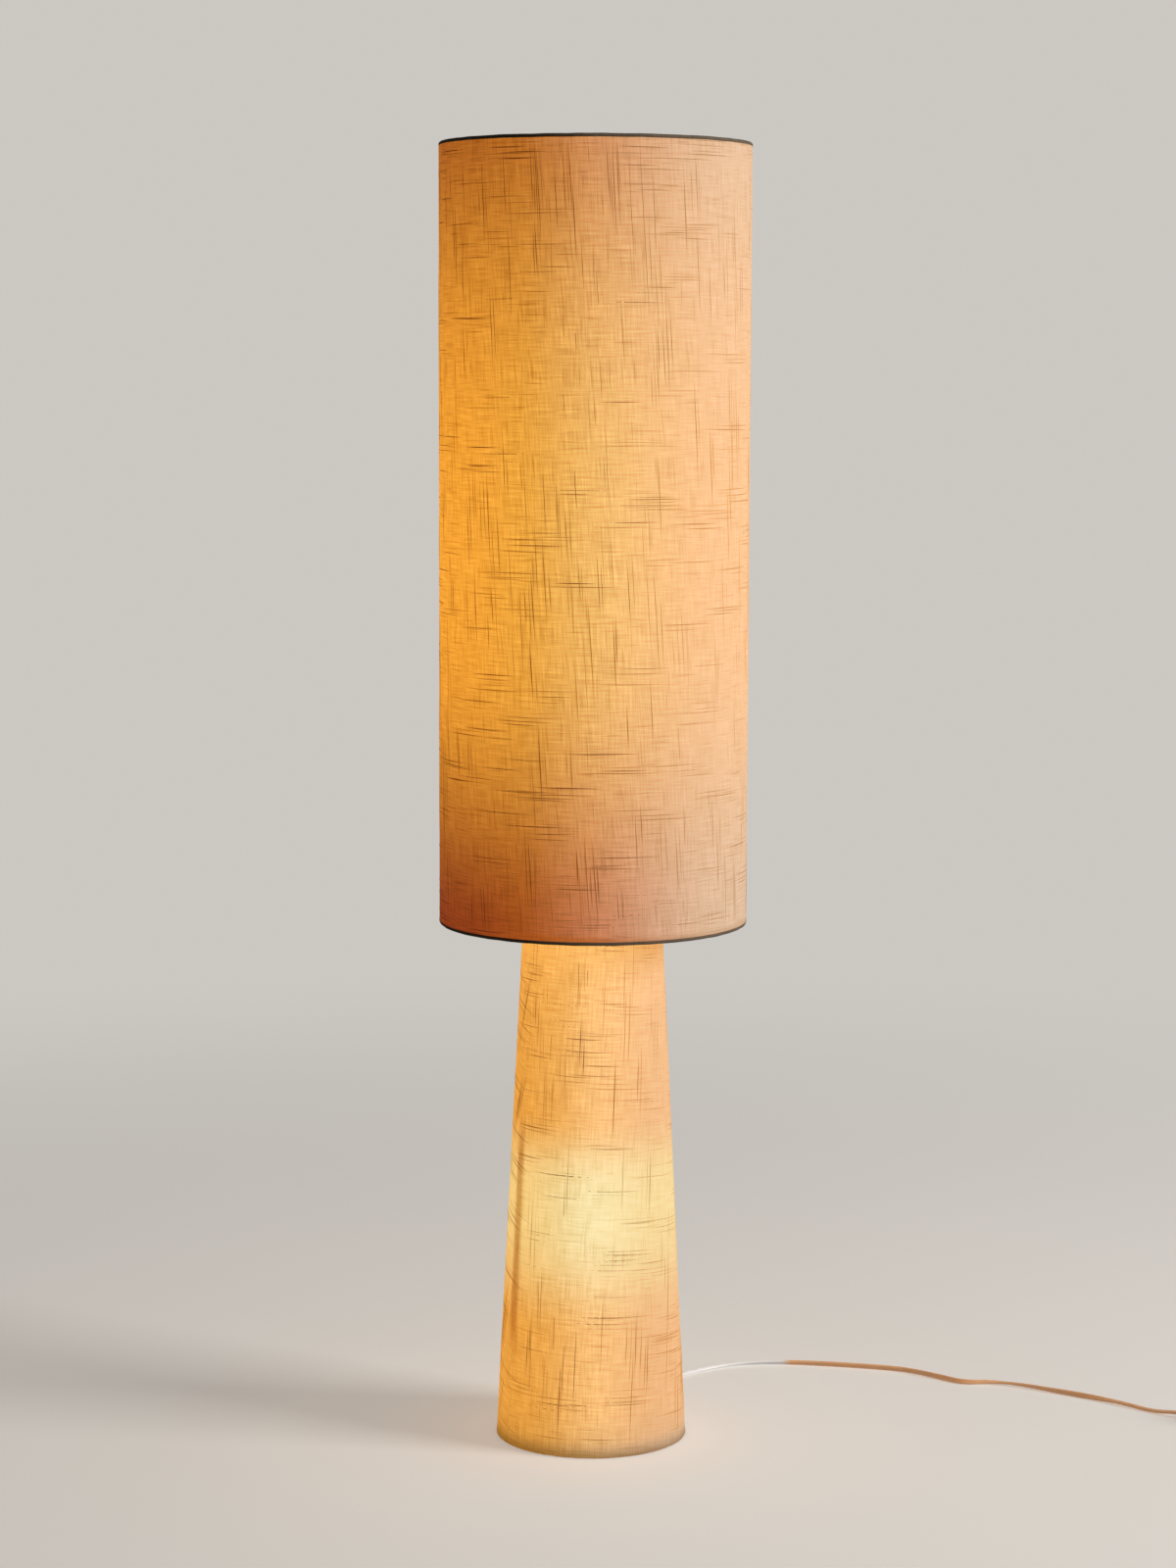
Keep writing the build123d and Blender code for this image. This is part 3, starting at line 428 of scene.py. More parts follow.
cover_outline = wall(first_row, cover_cloth_top, cover_rows, cone_radius, cloth)
cover_outline = [(cone_radius(cover_low), cover_low), *cover_outline,
                 (cone_radius(cover_low) - cloth, cover_low)]
cover_cloth = turned_piece("cover_cloth", cover_outline, cloth_columns, cover_ripple, notch_angle,
                           cone_to_flat)
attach(cover_cloth, "cover")
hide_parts("base_fabric")
print("cover cloth", len(cover_cloth.data.polygons), "faces")

# %% [markdown]
# At each rim the cloth is turned over a wire hoop and glued down inside, which leaves a round
# bead as thick as the wire and two layers of cloth. A plain ring would look moulded, so the
# bead swells and sinks a little as the glued cloth does.

# %% Turn the rolled hems
hoop_radius = 0.1726
hem_reach = 0.0024
hem_inner = 0.00165
wire_radius = 0.0016
hem_leg = 0.008
bead_points = 12
hem_columns = 360
cover_hem_height = 0.6376


def hem_outline(radius, height, side):
    """Cloth turned over a hoop, with its glued leg inside: side is 1 at a top rim, else -1."""
    outline = [(radius + hem_inner, height - side * wire_radius),
               (radius + hem_reach, height - side * wire_radius)]
    for place in range(bead_points + 1):
        angle = math.pi * place / bead_points
        outline.append((radius + hem_reach * math.cos(angle),
                        height + side * hem_reach * math.sin(angle)))
    outline += [(radius - hem_reach, height - side * hem_leg),
                (radius - hem_inner, height - side * hem_leg)]
    for place in range(bead_points, -1, -1):
        angle = math.pi * place / bead_points
        outline.append((radius + hem_inner * math.cos(angle),
                        height + side * hem_inner * math.sin(angle)))
    return outline[::-side]


def hem_ripple(seed):
    def push(angle, radius, height, row):
        place = Vector((math.cos(angle) * 11 + seed, math.sin(angle) * 11, seed))
        return uneven(place, 0.00025), uneven(place + Vector((3, 7, 1)), 0.00022)
    return push


hems = []
for name, old, body, radius, height, side in (
        ("shade_top_hem_cloth", "shade_top_hem", "shade", hoop_radius, 1.4726, 1),
        ("shade_bottom_hem_cloth", "shade_bottom_hem", "shade", hoop_radius, 0.6004, -1),
        ("cover_top_hem_cloth", "base_top_hem", "cover", cone_radius(cover_hem_height) - hem_reach,
         cover_hem_height, 1)):
    hem = turned_piece(name, hem_outline(radius, height, side), hem_columns, hem_ripple(height))
    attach(hem, body)
    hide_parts(old)
    hems.append(hem)
print("hems", [hem.name for hem in hems])

# %% [markdown]
# Raw linen has slubs, short thick places in its threads. The bold ones stand out of the cloth
# far enough to catch the light, so each is a real thread here, a low ridge that tapers out at
# both ends. They follow the weave: half lie around the shade and half run up it, and on the
# cover two in three lie. The shade's cloth was wrapped a little askew, so its uprights all lean
# the same way, and the cover's turn with its grain.

# %% Make one slub
slub_sections = 10
# the ridge's cross section, as shares of its half width and of its height over the cloth
slub_ridge = ((-1, -0.15), (-0.55, 0.8), (0.55, 0.8), (1, -0.15))


def slub(points, faces, lengths, place_at, start, way, length, width, proud, strength):
    """Adds one slub: place_at gives a point of the surface from two lengths and a height over it."""
    base = len(points)
    across = Vector((-way.y, way.x))
    for step in range(slub_sections + 1):
        share = step / slub_sections
        taper = math.sin(math.pi * share) ** 0.6 if 0 < share < 1 else 0.12
        centre = start + way * (length * (share - 0.5))
        half = width / 2 * taper
        for side, height in slub_ridge:
            spot = centre + across * (side * half)
            points.append(place_at(spot.x, spot.y, proud * height * taper))
    for face in tube_faces(slub_sections + 1, len(slub_ridge)):
        faces.append(tuple(base + corner for corner in face))
        lengths += [(corner // len(slub_ridge) / slub_sections, strength) for corner in face]


# %% Lay the slubs
lying_length = (0.045, 0.105)
upright_length = (0.045, 0.125)
slub_width = (0.0007, 0.0014)
slub_proud = (0.00018, 0.0003)
slub_strength = (0.4, 1.0)
group_gap = (0.003, 0.007)
group_drift = 0.02
shade_lean = math.radians(3.5)
cover_mean_radius = 0.0935


def draw_slubs(name, place_at, grain_at, girth, low, high, count, lying_share, seed):
    """Slubs scattered in small groups. grain_at gives the lying and the upright threads' turn."""
    draw = random.Random(seed)
    points, faces, lengths = [], [], []
    while count > 0:
        height = draw.uniform(low, high)
        around = draw.uniform(0, girth)
        lying = draw.random() < lying_share
        grain = grain_at(around)
        group = draw.choice((1, 1, 1, 2, 2, 3))
        for _ in range(group):
            length = draw.uniform(*(lying_length if lying else upright_length))
            tilt = draw.gauss(0, 0.006) + (grain[0] if lying else math.pi / 2 + grain[1])
            way = Vector((math.cos(tilt), math.sin(tilt)))
            reach = abs(way.y) * length / 2
            middle = min(max(height, low + reach), high - reach)
            slub(points, faces, lengths, place_at, Vector((around, middle)), way, length,
                 draw.uniform(*slub_width), draw.uniform(*slub_proud), draw.uniform(*slub_strength))
            count -= 1
            gap, drift = draw.uniform(*group_gap), draw.uniform(-group_drift, group_drift)
            around += drift if lying else gap
            height += gap if lying else drift
    return mesh_piece(name, points, faces, lengths)


def on_shade(around, height, proud):
    return at_angle(shade_seam + around / shade_radius, shade_radius - ripple + proud, height)


def on_cover(around, height, proud):
    return at_angle(notch_angle + around / cover_mean_radius,
                    cone_radius(height) - ripple + proud, height)


def shade_grain(around):
    return 0, shade_lean


def cover_grain(around):
    turn = -grain_turn(notch_angle + around / cover_mean_radius)
    return turn, turn


shade_slubs = draw_slubs(
    "shade_slubs", on_shade, shade_grain, girth=2 * math.pi * shade_radius,
    low=shade_cloth_low + 0.001, high=shade_cloth_top - 0.001, count=1250, lying_share=0.5, seed=11)
cover_slubs = draw_slubs(
    "cover_slubs", on_cover, cover_grain, girth=2 * math.pi * cover_mean_radius,
    low=0.012, high=cover_cloth_top - 0.010, count=560, lying_share=0.68, seed=23)
for slubs, body, finish in ((shade_slubs, "shade", "shade_linen"),
                            (cover_slubs, "cover", "cover_linen")):
    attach(slubs, body)
print("slubs", len(shade_slubs.data.polygons), len(cover_slubs.data.polygons), "faces")

# %% [markdown]
# The cover's foot is cut and not hemmed, and cut linen frays. A few hundred short hairs that
# hang from the edge and bend outwards are enough to break its hard line.

# %% Fray the cover's cut foot
hair_count = 420
hair_thick = 0.00013
hair_sides = 3
hair_rings = 3


def wire_ring(centre, level_way, thick, count):
    """Points round a fine wire or hair at this centre, across the level way and upright."""
    turns = [2 * math.pi * turn / count for turn in range(count)]
    return [lifted(centre + level_way * (thick * math.cos(turn)), thick * math.sin(turn))
            for turn in turns]


draw = random.Random(37)
points, faces = [], []
for _ in range(hair_count):
    angle = draw.uniform(0, 2 * math.pi)
    if abs(math.remainder(angle - notch_angle, 2 * math.pi)) * foot_radius < notch_half + 0.001:
        continue
    out = Vector(at_angle(angle, 1, 0))
    side = Vector((-out.y, out.x, 0))
    length = draw.uniform(0.0012, 0.003)
    bend = side * draw.uniform(-0.6, 0.6) + out * draw.uniform(0.1, 0.9)
    root = lifted(out * (foot_radius - draw.uniform(0.0001, 0.0007)), draw.uniform(0.0012, 0.0030))
    base = len(points)
    for step in range(hair_rings):
        share = step / (hair_rings - 1)
        centre = lifted(root + bend * (length * share), -0.5 * length * share * share)
        centre.z = max(centre.z, 0.0003)
        points += wire_ring(centre, side, hair_thick * (1 - 0.6 * share), hair_sides)
    faces += [tuple(base + corner for corner in face) for face in tube_faces(hair_rings, hair_sides)]
foot_fray = mesh_piece("foot_fray", points, faces)
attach(foot_fray, "cover")
print("fray", len(faces), "faces")

# %% [markdown]

# %% [markdown]
# Under the foot switch's button sits a small wire spring. The button rides down on it, so the
# spring is the one rigid piece that has to shorten, and it is wound here as a fine helix.

# %% Wind the button's spring
spring_low = 0.0106
spring_high = 0.0224
spring_radius = 0.0055
spring_wire = 0.0005
spring_turns = 6
turn_steps = 24
wire_sides = 8
steps = spring_turns * turn_steps
points = []
for step in range(steps + 1):
    angle = 2 * math.pi * step / turn_steps
    out = Vector((math.sin(angle), -math.cos(angle), 0))
    height = spring_low + (spring_high - spring_low) * step / steps
    centre = lifted(switch_middle + out * spring_radius, height)
    points += wire_ring(centre, out, spring_wire, wire_sides)
spring = mesh_piece("button_spring", points, tube_faces(steps + 1, wire_sides))
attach(spring, "stand")
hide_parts("switch_spring")
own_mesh(spring)
print("spring", len(spring.data.polygons), "faces")

# %% [markdown]
# All finishes are drawn by nodes, with no pictures. Wiring nodes by hand in code is long, so
# one helper joins or fills the inputs of a node, and a second one adds a node and sets its
# options. A third opens a group: a small drawing of its own with named inputs and outputs,
# which any material can then use with its own values.

# %% Helpers for wiring nodes
def fill(tree, sockets, inputs):
    """Each input is joined if it is given a socket, else it takes the value."""
    for name, value in inputs.items():
        if isinstance(value, bpy.types.NodeSocket):
            tree.links.new(value, sockets[name])
        elif sockets[name].type == "RGBA":
            sockets[name].default_value = (*value, 1)
        else:
            sockets[name].default_value = value


def wire(tree, kind, inputs=None, **options):
    """Adds a node of this kind, sets its options, then joins or fills its inputs."""
    made = tree.nodes.new("ShaderNode" + kind)
    for option, value in options.items():
        setattr(made, option, value)
    fill(tree, made.inputs, inputs or {})
    return made


def maths(tree, operation, first, second=0.0, third=0.0):
    return wire(tree, "Math", {0: first, 1: second, 2: third}, operation=operation).outputs[0]


def product(tree, first, second):
    return maths(tree, "MULTIPLY", first, second)


def add(tree, first, second):
    return maths(tree, "ADD", first, second)


def rest_of(tree, share):
    return maths(tree, "SUBTRACT", 1, share)


def vectors(tree, operation, first, second):
    return wire(tree, "VectorMath", {0: first, 1: second}, operation=operation).outputs[0]


def scaled(tree, vector, share):
    return wire(tree, "VectorMath", {0: vector, "Scale": share}, operation="SCALE").outputs[0]


def length_of(tree, vector):
    return wire(tree, "VectorMath", {0: vector}, operation="LENGTH").outputs["Value"]


def parts_of(tree, vector):
    return wire(tree, "SeparateXYZ", {0: vector}).outputs


def point_of(tree, x, y, z):
    return wire(tree, "CombineXYZ", {0: x, 1: y, 2: z}).outputs[0]


def spread(tree, value, low, high, to_low=0.0, to_high=1.0, way="LINEAR"):
    """Stretches low..high evenly to to_low..to_high."""
    return wire(tree, "MapRange", {"Value": value, "From Min": low, "From Max": high,
                                   "To Min": to_low, "To Max": to_high},
                interpolation_type=way).outputs["Result"]


def ease(tree, value, low, high, to_low=0.0, to_high=1.0):
    """The same with soft ends."""
    return spread(tree, value, low, high, to_low, to_high, "SMOOTHSTEP")


def blend_colours(tree, share, first, second):
    return wire(tree, "Mix", {"Factor": share, 6: first, 7: second}, data_type="RGBA").outputs[2]


def noise_at(tree, place, scale, detail, roughness=0.5):
    return wire(tree, "TexNoise", {"Vector": place, "Scale": scale, "Detail": detail,
                                   "Roughness": roughness}).outputs["Fac"]


# %% Helpers for groups and materials
def open_group(name, inputs, outputs):
    """A new node group: inputs and outputs are {name: kind}, as in Float, Vector or Color."""
    tree = bpy.data.node_groups.new(name, "ShaderNodeTree")
    for way, sockets in (("INPUT", inputs), ("OUTPUT", outputs)):
        for title, kind in sockets.items():
            tree.interface.new_socket(title, in_out=way, socket_type="NodeSocket" + kind)
    entry = tree.nodes.new("NodeGroupInput").outputs
    leave = tree.nodes.new("NodeGroupOutput").inputs
    return tree, entry, leave


def place_group(tree, name, inputs):
    return wire(tree, "Group", inputs, node_tree=bpy.data.node_groups[name]).outputs


def open_material(name):
    """A new material and its plain surface shader."""
    material = bpy.data.materials.new(name)
    material.use_nodes = True
    return material, material.node_tree, material.node_tree.nodes["Principled BSDF"]


def dress(pieces, material):
    for piece in pieces:
        piece.data.materials.clear()
        piece.data.materials.append(material)


def surface_lengths(tree):
    return wire(tree, "UVMap", uv_map="surface_lengths").outputs["UV"]


def own_place(tree):
    """The spot on the piece at rest, so what is drawn from it goes along when the piece moves."""
    return wire(tree, "TexCoord").outputs["Object"]


def relief(tree, height, strength, depth):
    return wire(tree, "Bump", {"Height": height, "Strength": strength, "Distance": depth}).outputs[0]


# %% [markdown]
# The linen is a plain weave of threads about a millimetre apart, and no two threads are alike.
# A picture of cloth would repeat, so the weave is worked out from the surface's own lengths:
# a small arch over each thread, turn about over and under, for the relief; long thin streaks
# along both threads for their unevenness; and rarer, stronger streaks for the faint slubs.

# %% Draw the weave
tree, entry, leave = open_group(
    "linen_weave", {"Surface": "Vector", "Pitch": "Float", "Lean": "Float"},
    {"Height": "Float", "Threads": "Float", "Slubs": "Float"})
parts = parts_of(tree, entry["Surface"])
leaning = maths(tree, "MULTIPLY_ADD", parts["Y"], entry["Lean"], parts["X"])
across = maths(tree, "DIVIDE", leaning, entry["Pitch"])
along = maths(tree, "DIVIDE", parts["Y"], entry["Pitch"])


def arch(tree, count):
    """A low arch over each whole step of the count."""
    return maths(tree, "ABSOLUTE", maths(tree, "SINE", product(tree, count, math.pi)))


def streaks(tree, thread_scale, run_scale, starts, stretch, low, high):
    """Noise drawn out along the upright threads, and the same along the level ones."""
    for over, onward, start in ((across, along, starts[0]), (along, across, starts[1])):
        spot = point_of(tree, product(tree, over, thread_scale),
                        product(tree, onward, run_scale), start)
        yield stretch(tree, noise_at(tree, spot, scale=1, detail=1.5, roughness=0.6), low, high)


turn_about = maths(tree, "FLOORED_MODULO",
                   add(tree, maths(tree, "FLOOR", across), maths(tree, "FLOOR", along)), 2)
height = add(tree, product(tree, arch(tree, across), turn_about),
             product(tree, arch(tree, along), rest_of(tree, turn_about)))
thread_streaks = streaks(tree, thread_scale=0.85, run_scale=0.034, starts=(3, 9), stretch=spread,
                         low=0.30, high=0.70)
slub_streaks = streaks(tree, thread_scale=0.62, run_scale=0.020, starts=(17, 23), stretch=ease,
                       low=0.60, high=0.74)
threads = product(tree, add(tree, *thread_streaks), 0.5)
faint_slubs = maths(tree, "MAXIMUM", *slub_streaks)
fill(tree, leave, {"Height": height, "Threads": threads, "Slubs": faint_slubs})
print("weave nodes", len(tree.nodes))

# %% [markdown]
# Lit from inside, the cloth glows. Real light through cloth is slow to render and the colour
# depends on dye and liner, so the glow is painted on as emission, by how far a spot is from its
# bulb: pale amber where it is near, brown towards the rims. A bulb throws more light up than
# down past its own holder, so lengths sideways, down and up from it each count by their own
# share. The daylight that comes in on the right is painted in too. The glow is painted deepest
# on the left and palest on the right, so each side has its own pair of colours. The painted
# daylight also washes out what the threads hold back. A bulb close behind the cloth does the
# same to the fine threads, though not to the slubs, so two more outputs say how plainly the
# threads and the slubs still show.

# %% Draw the glow through the cloth
sides = ("Left", "Front", "Right")
tree, entry, leave = open_group(
    "cloth_glow",
    {"Place": "Vector", "Bulb": "Vector", "Half width": "Float", "Near": "Float", "Far": "Float",
     "Counts": "Vector", "Washed near": "Float",
     **{side + " " + reach: "Color" for side in sides for reach in ("near", "far")}},
    {"Colour": "Color", "Threads show": "Float", "Slubs show": "Float"})
counts = parts_of(tree, entry["Counts"])
parts = parts_of(tree, vectors(tree, "SUBTRACT", entry["Place"], entry["Bulb"]))
upward = product(tree, maths(tree, "MAXIMUM", parts["Z"], 0), counts["Z"])
downward = product(tree, maths(tree, "MINIMUM", parts["Z"], 0), counts["Y"])
counted = point_of(tree, product(tree, parts["X"], counts["X"]), parts["Y"],
                   add(tree, upward, downward))
to_far = ease(tree, length_of(tree, counted), entry["Near"], entry["Far"])
left, front, right = (
    blend_colours(tree, to_far, entry[side + " near"], entry[side + " far"]) for side in sides)
# Painted daylight and shade: the glow is deeper on the left and paler on the right.
beside = maths(tree, "DIVIDE", parts_of(tree, entry["Place"])["X"], entry["Half width"])
colour = blend_colours(tree, ease(tree, beside, -0.95, 0.05), left, front)
colour = blend_colours(tree, ease(tree, beside, -0.05, 0.85), colour, right)
washed_near = product(tree, entry["Washed near"], rest_of(tree, to_far))
in_daylight = ease(tree, beside, -0.2, 0.9, 1.0, 0.45)
threads_show = product(tree, in_daylight, rest_of(tree, washed_near))
fill(tree, leave, {"Colour": colour, "Threads show": threads_show, "Slubs show": in_daylight})
print("glow nodes", len(tree.nodes))

# %% [markdown]
# Both cloths use the same weave and the same glow with their own values. The shade is the
# deeper amber. The cover's cloth lies nearer its bulb, so it is paler there. At its foot, past
# the base plate, a painted shade darkens it, and over its lap, which has two layers, a deeper
# amber is painted in.

# %% Set the light behind each cloth
shade_glow = {
    "Bulb": (0, 0, 1.005), "Half width": 0.175, "Near": 0.14, "Far": 0.46, "Counts": (1, 1.04, 0.68),
    "Washed near": 0.1,
    "Left near": (0.95, 0.38, 0.027), "Left far": (0.25, 0.032, 0.0),
    "Front near": (0.79, 0.40, 0.055), "Front far": (0.43, 0.092, 0.0),
    "Right near": (0.67, 0.28, 0.045), "Right far": (0.43, 0.22, 0.10)}
cover_glow = {
    "Bulb": (0, -0.044, 0.286), "Half width": 0.095, "Near": 0.045, "Far": 0.175,
    "Counts": (0.55, 1.1, 1.65), "Washed near": 0.4,
    "Left near": (0.92, 0.60, 0.20), "Left far": (0.82, 0.35, 0.045),
    "Front near": (0.83, 0.68, 0.32), "Front far": (0.83, 0.42, 0.10),
    "Right near": (0.64, 0.44, 0.12), "Right far": (0.59, 0.23, 0.02)}
all_light = (1, 1, 1)
lap_half = 0.0078
lap_passes = (0.66, 0.50, 0.30)


def cover_shadows(tree, place):
    """Painted shade: darker towards the base plate's edge, and a deeper amber over the cloth's lap by
    the bulb.
    """
    parts = parts_of(tree, place)
    # Painted shade of the base plate, deepest at the very foot.
    foot = product(tree, ease(tree, parts["Z"], 0.0, 0.024, 0.42, 1.0),
                   ease(tree, parts["Z"], 0.015, 0.060, 0.86, 1.0))
    # Painted shade over the lap, only in the stretch that the bulb lights.
    off_lap = maths(tree, "SUBTRACT", maths(tree, "ARCTAN2", parts["Y"], parts["X"]), lap_angle)
    lap = ease(tree, product(tree, maths(tree, "ABSOLUTE", off_lap), cover_mean_radius),
               lap_half * 0.3, lap_half * 1.5, 1.0, 0.0)
    lit_stretch = product(tree, ease(tree, parts["Z"], 0.08, 0.16),
                          ease(tree, parts["Z"], 0.33, 0.40, 1.0, 0.0))
    tint = blend_colours(tree, product(tree, lap, lit_stretch), all_light, lap_passes)
    return scaled(tree, tint, foot)


def shine_through(tree, glow, passed, show, shadows):
    """The painted glow's colour, as far as the threads pass it on, and the painted shadows of what lies
    behind.
    """
    place = own_place(tree)
    shine = place_group(tree, "cloth_glow", {"Place": place, **glow})
    emitted = vectors(tree, "MULTIPLY", shine["Colour"],
                      blend_colours(tree, shine[show], all_light, passed))
    return vectors(tree, "MULTIPLY", emitted, shadows(tree, place)) if shadows else emitted


print("bulbs behind the cloth at", shade_glow["Bulb"], cover_glow["Bulb"])

# %% [markdown]
# A thick thread passes less light on than a thin one, and what it passes is redder. So the
# weave cuts the painted glow down colour by colour, and the slubs, the thickest of all, pass
# almost nothing but a little red. Raw linen is matt, with only a trace of gloss and sheen.

# %% Give the cloths their finish
thread_pitch = 0.0012
thick_colour = (0.45, 0.39, 0.28)
thin_colour = (0.59, 0.56, 0.52)
slub_colour = (0.30, 0.19, 0.095)
thick_passes = (0.66, 0.55, 0.22)
thin_passes = (1.36, 1.45, 1.84)
faint_slub_passes = (0.68, 0.55, 0.26)
faint_slub_tint = 0.45
linen_gloss = 0.05


def linen(name, glow, lean, depth, shadows=None):
    """Woven cloth lit from behind: depth says how much of the weave shows against the light."""
    material, tree, surface = open_material(name)
    weave = place_group(tree, "linen_weave", {"Surface": surface_lengths(tree),
                                              "Pitch": thread_pitch, "Lean": lean})
    passed = vectors(tree, "MULTIPLY",
                     blend_colours(tree, weave["Threads"], thick_passes, thin_passes),
                     blend_colours(tree, weave["Slubs"], all_light, faint_slub_passes))
    passed = blend_colours(tree, depth, all_light, passed)
    threads = blend_colours(tree, weave["Threads"], thick_colour, thin_colour)
    tinted = product(tree, weave["Slubs"], faint_slub_tint)
    fill(tree, surface.inputs, {
        "Base Color": blend_colours(tree, tinted, threads, slub_colour),
        "Emission Color": shine_through(tree, glow, passed, "Threads show", shadows),
        "Emission Strength": 1, "Normal": relief(tree, weave["Height"], strength=0.7, depth=0.0003),
        "Roughness": 0.92, "Sheen Weight": 0.05, "Specular IOR Level": linen_gloss})
    return material


cloth_linens = [linen("shade_linen_lit", shade_glow, lean=0.058, depth=1.0),
                linen("cover_linen_lit", cover_glow, lean=0.0, depth=0.75, shadows=cover_shadows)]
dress([shade_cloth], cloth_linens[0])
dress([cover_cloth, foot_fray], cloth_linens[1])
print("linens", [material.name for material in cloth_linens])

# %% Give the slubs their finish
linen_colour = (0.50, 0.46, 0.39)
slub_end_passes = (0.95, 0.93, 0.90)
slub_passes = (0.17, 0.06, 0.0)
slub_fullness = 2.6


def slub_thread(name, glow, shadows=None):
    """A slub's two lengths are its share from end to end, and how strong it is."""
    material, tree, surface = open_material(name)
    pair = parts_of(tree, surface_lengths(tree))
    from_middle = maths(tree, "ABSOLUTE", maths(tree, "MULTIPLY_ADD", pair["X"], 2, -1))
    middle = rest_of(tree, maths(tree, "POWER", from_middle, slub_fullness))
    thick = product(tree, middle, pair["Y"])
    passed = blend_colours(tree, thick, slub_end_passes, slub_passes)
    fill(tree, surface.inputs, {
        "Base Color": blend_colours(tree, thick, linen_colour, slub_colour),
        "Emission Color": shine_through(tree, glow, passed, "Slubs show", shadows),
        "Emission Strength": 1, "Roughness": 0.9, "Specular IOR Level": linen_gloss})
    return material


dress([shade_slubs], slub_thread("shade_slub_thread", shade_glow))
dress([cover_slubs], slub_thread("cover_slub_thread", cover_glow, cover_shadows))
print("slubs dressed", shade_slubs.name, cover_slubs.name)

# %% [markdown]
# The hems look dark beside the glowing cloth, because the wire hoop lets no light through. So
# they take the same weave without a glow, in colours darker than the linen's, a painted shade
# beside the hoop, and it slants, since hem strips are cut on the bias.

# %% Finish the rolled hems
material, tree, surface = open_material("hem_linen_painted_shade")
weave = place_group(tree, "linen_weave", {"Surface": surface_lengths(tree),
                                          "Pitch": thread_pitch, "Lean": 0.4})
# The hem's colours are painted shade: darker than the linen they are cut from.
fill(tree, surface.inputs, {
    "Base Color": blend_colours(tree, weave["Threads"], (0.16, 0.115, 0.075), (0.34, 0.27, 0.20)),
    "Normal": relief(tree, weave["Height"], strength=0.9, depth=0.0004),
    "Roughness": 0.92, "Specular IOR Level": 0.2})
dress(hems, material)
print("hems dressed in", material.name)

# %% [markdown]
# Painted steel, moulded plastic, zinc and rubber all have a fine relief and a faint mottling
# that the eye reads before it sees it. One group draws both from the place on the part, and
# each finish places it with its own scale and depth. Bare metal is worn along its length, so
# its roughness follows drawn-out scratches, and the others' follows the mottling.

# %% Draw the fine grain of the hard finishes
tree, entry, leave = open_group(
    "fine_grain", {"Place": "Vector", "Grain scale": "Float", "Patch scale": "Float"},
    {"Grain": "Float", "Patches": "Float", "Scratches": "Float"})
drawn_out = vectors(tree, "MULTIPLY", entry["Place"], (1, 1, 0.05))
patches = noise_at(tree, entry["Place"], entry["Patch scale"], detail=3, roughness=0.6)
scratches = noise_at(tree, drawn_out, entry["Grain scale"], detail=2)
fill(tree, leave, {
    "Grain": noise_at(tree, entry["Place"], entry["Grain scale"], detail=4, roughness=0.55),
    "Patches": ease(tree, patches, 0.3, 0.7), "Scratches": ease(tree, scratches, 0.35, 0.65)})
print("grain nodes", len(tree.nodes))


def fine_grain(tree, grain_scale, patch_scale):
    return place_group(tree, "fine_grain", {"Place": own_place(tree), "Grain scale": grain_scale,
                                            "Patch scale": patch_scale})


# %% Give every hard part its finish
gloss_white = ((0.76, 0.74, 0.70), (0.71, 0.69, 0.64), 0, 0.22, 0.34, 1800, 70, 0.00003, 0.3)
# name: (colour, second colour, metallic, roughness low, high, grain scale, patch scale, relief, coat)
finishes = {
    "white_wire": ((0.78, 0.76, 0.71), (0.70, 0.68, 0.62), 0, 0.38, 0.50, 900, 40, 0.00006, 0.2),
    "white_steel": ((0.80, 0.79, 0.75), (0.72, 0.70, 0.65), 0, 0.34, 0.46, 700, 30, 0.00006, 0.25),
    "black_steel": ((0.020, 0.020, 0.022), (0.035, 0.034, 0.034), 0, 0.42, 0.58, 900, 25, 0.00010, 0.1),
    "cast_flange": ((0.045, 0.045, 0.048), (0.085, 0.080, 0.075), 0.3, 0.55, 0.75, 500, 60, 0.00030, 0),
    "pad_rubber": ((0.030, 0.030, 0.030), (0.050, 0.048, 0.046), 0, 0.75, 0.90, 1200, 80, 0.00010, 0),
    "zinc_steel": ((0.62, 0.63, 0.65), (0.50, 0.52, 0.55), 1, 0.22, 0.40, 1500, 120, 0.00004, 0),
    "holder_plastic": ((0.74, 0.71, 0.65), (0.68, 0.64, 0.57), 0, 0.40, 0.52, 1600, 60, 0.00004, 0),
    "ceramic": ((0.80, 0.79, 0.74), (0.74, 0.72, 0.66), 0, 0.10, 0.20, 300, 90, 0.00003, 0.6),
    "contact_brass": ((0.62, 0.42, 0.14), (0.50, 0.33, 0.10), 1, 0.22, 0.38, 1400, 200, 0.00003, 0),
    "bulb_cap": ((0.68, 0.68, 0.70), (0.58, 0.58, 0.60), 1, 0.20, 0.34, 1400, 150, 0.00003, 0),
    "terminal_plastic": ((0.66, 0.64, 0.58), (0.60, 0.57, 0.50), 0, 0.42, 0.55, 1500, 90, 0.00004, 0),
    "lead_sleeve": ((0.72, 0.70, 0.65), (0.66, 0.63, 0.57), 0, 0.40, 0.52, 1200, 60, 0.00005, 0),
    "soft_grommet": ((0.64, 0.61, 0.55), (0.56, 0.53, 0.47), 0, 0.55, 0.68, 1500, 120, 0.00005, 0),
    "switch_plastic": gloss_white,
    "mechanism_plastic": ((0.020, 0.020, 0.022), (0.030, 0.030, 0.032), 0, 0.45, 0.60, 1500, 90,
                          0.00005, 0),
    "plug_plastic": gloss_white,
    "plug_brass": ((0.66, 0.60, 0.44), (0.54, 0.48, 0.34), 1, 0.18, 0.32, 1400, 200, 0.00003, 0),
}
slots = {part["node"]: part["material_slot"] for part in frame["record"]["subparts"]}
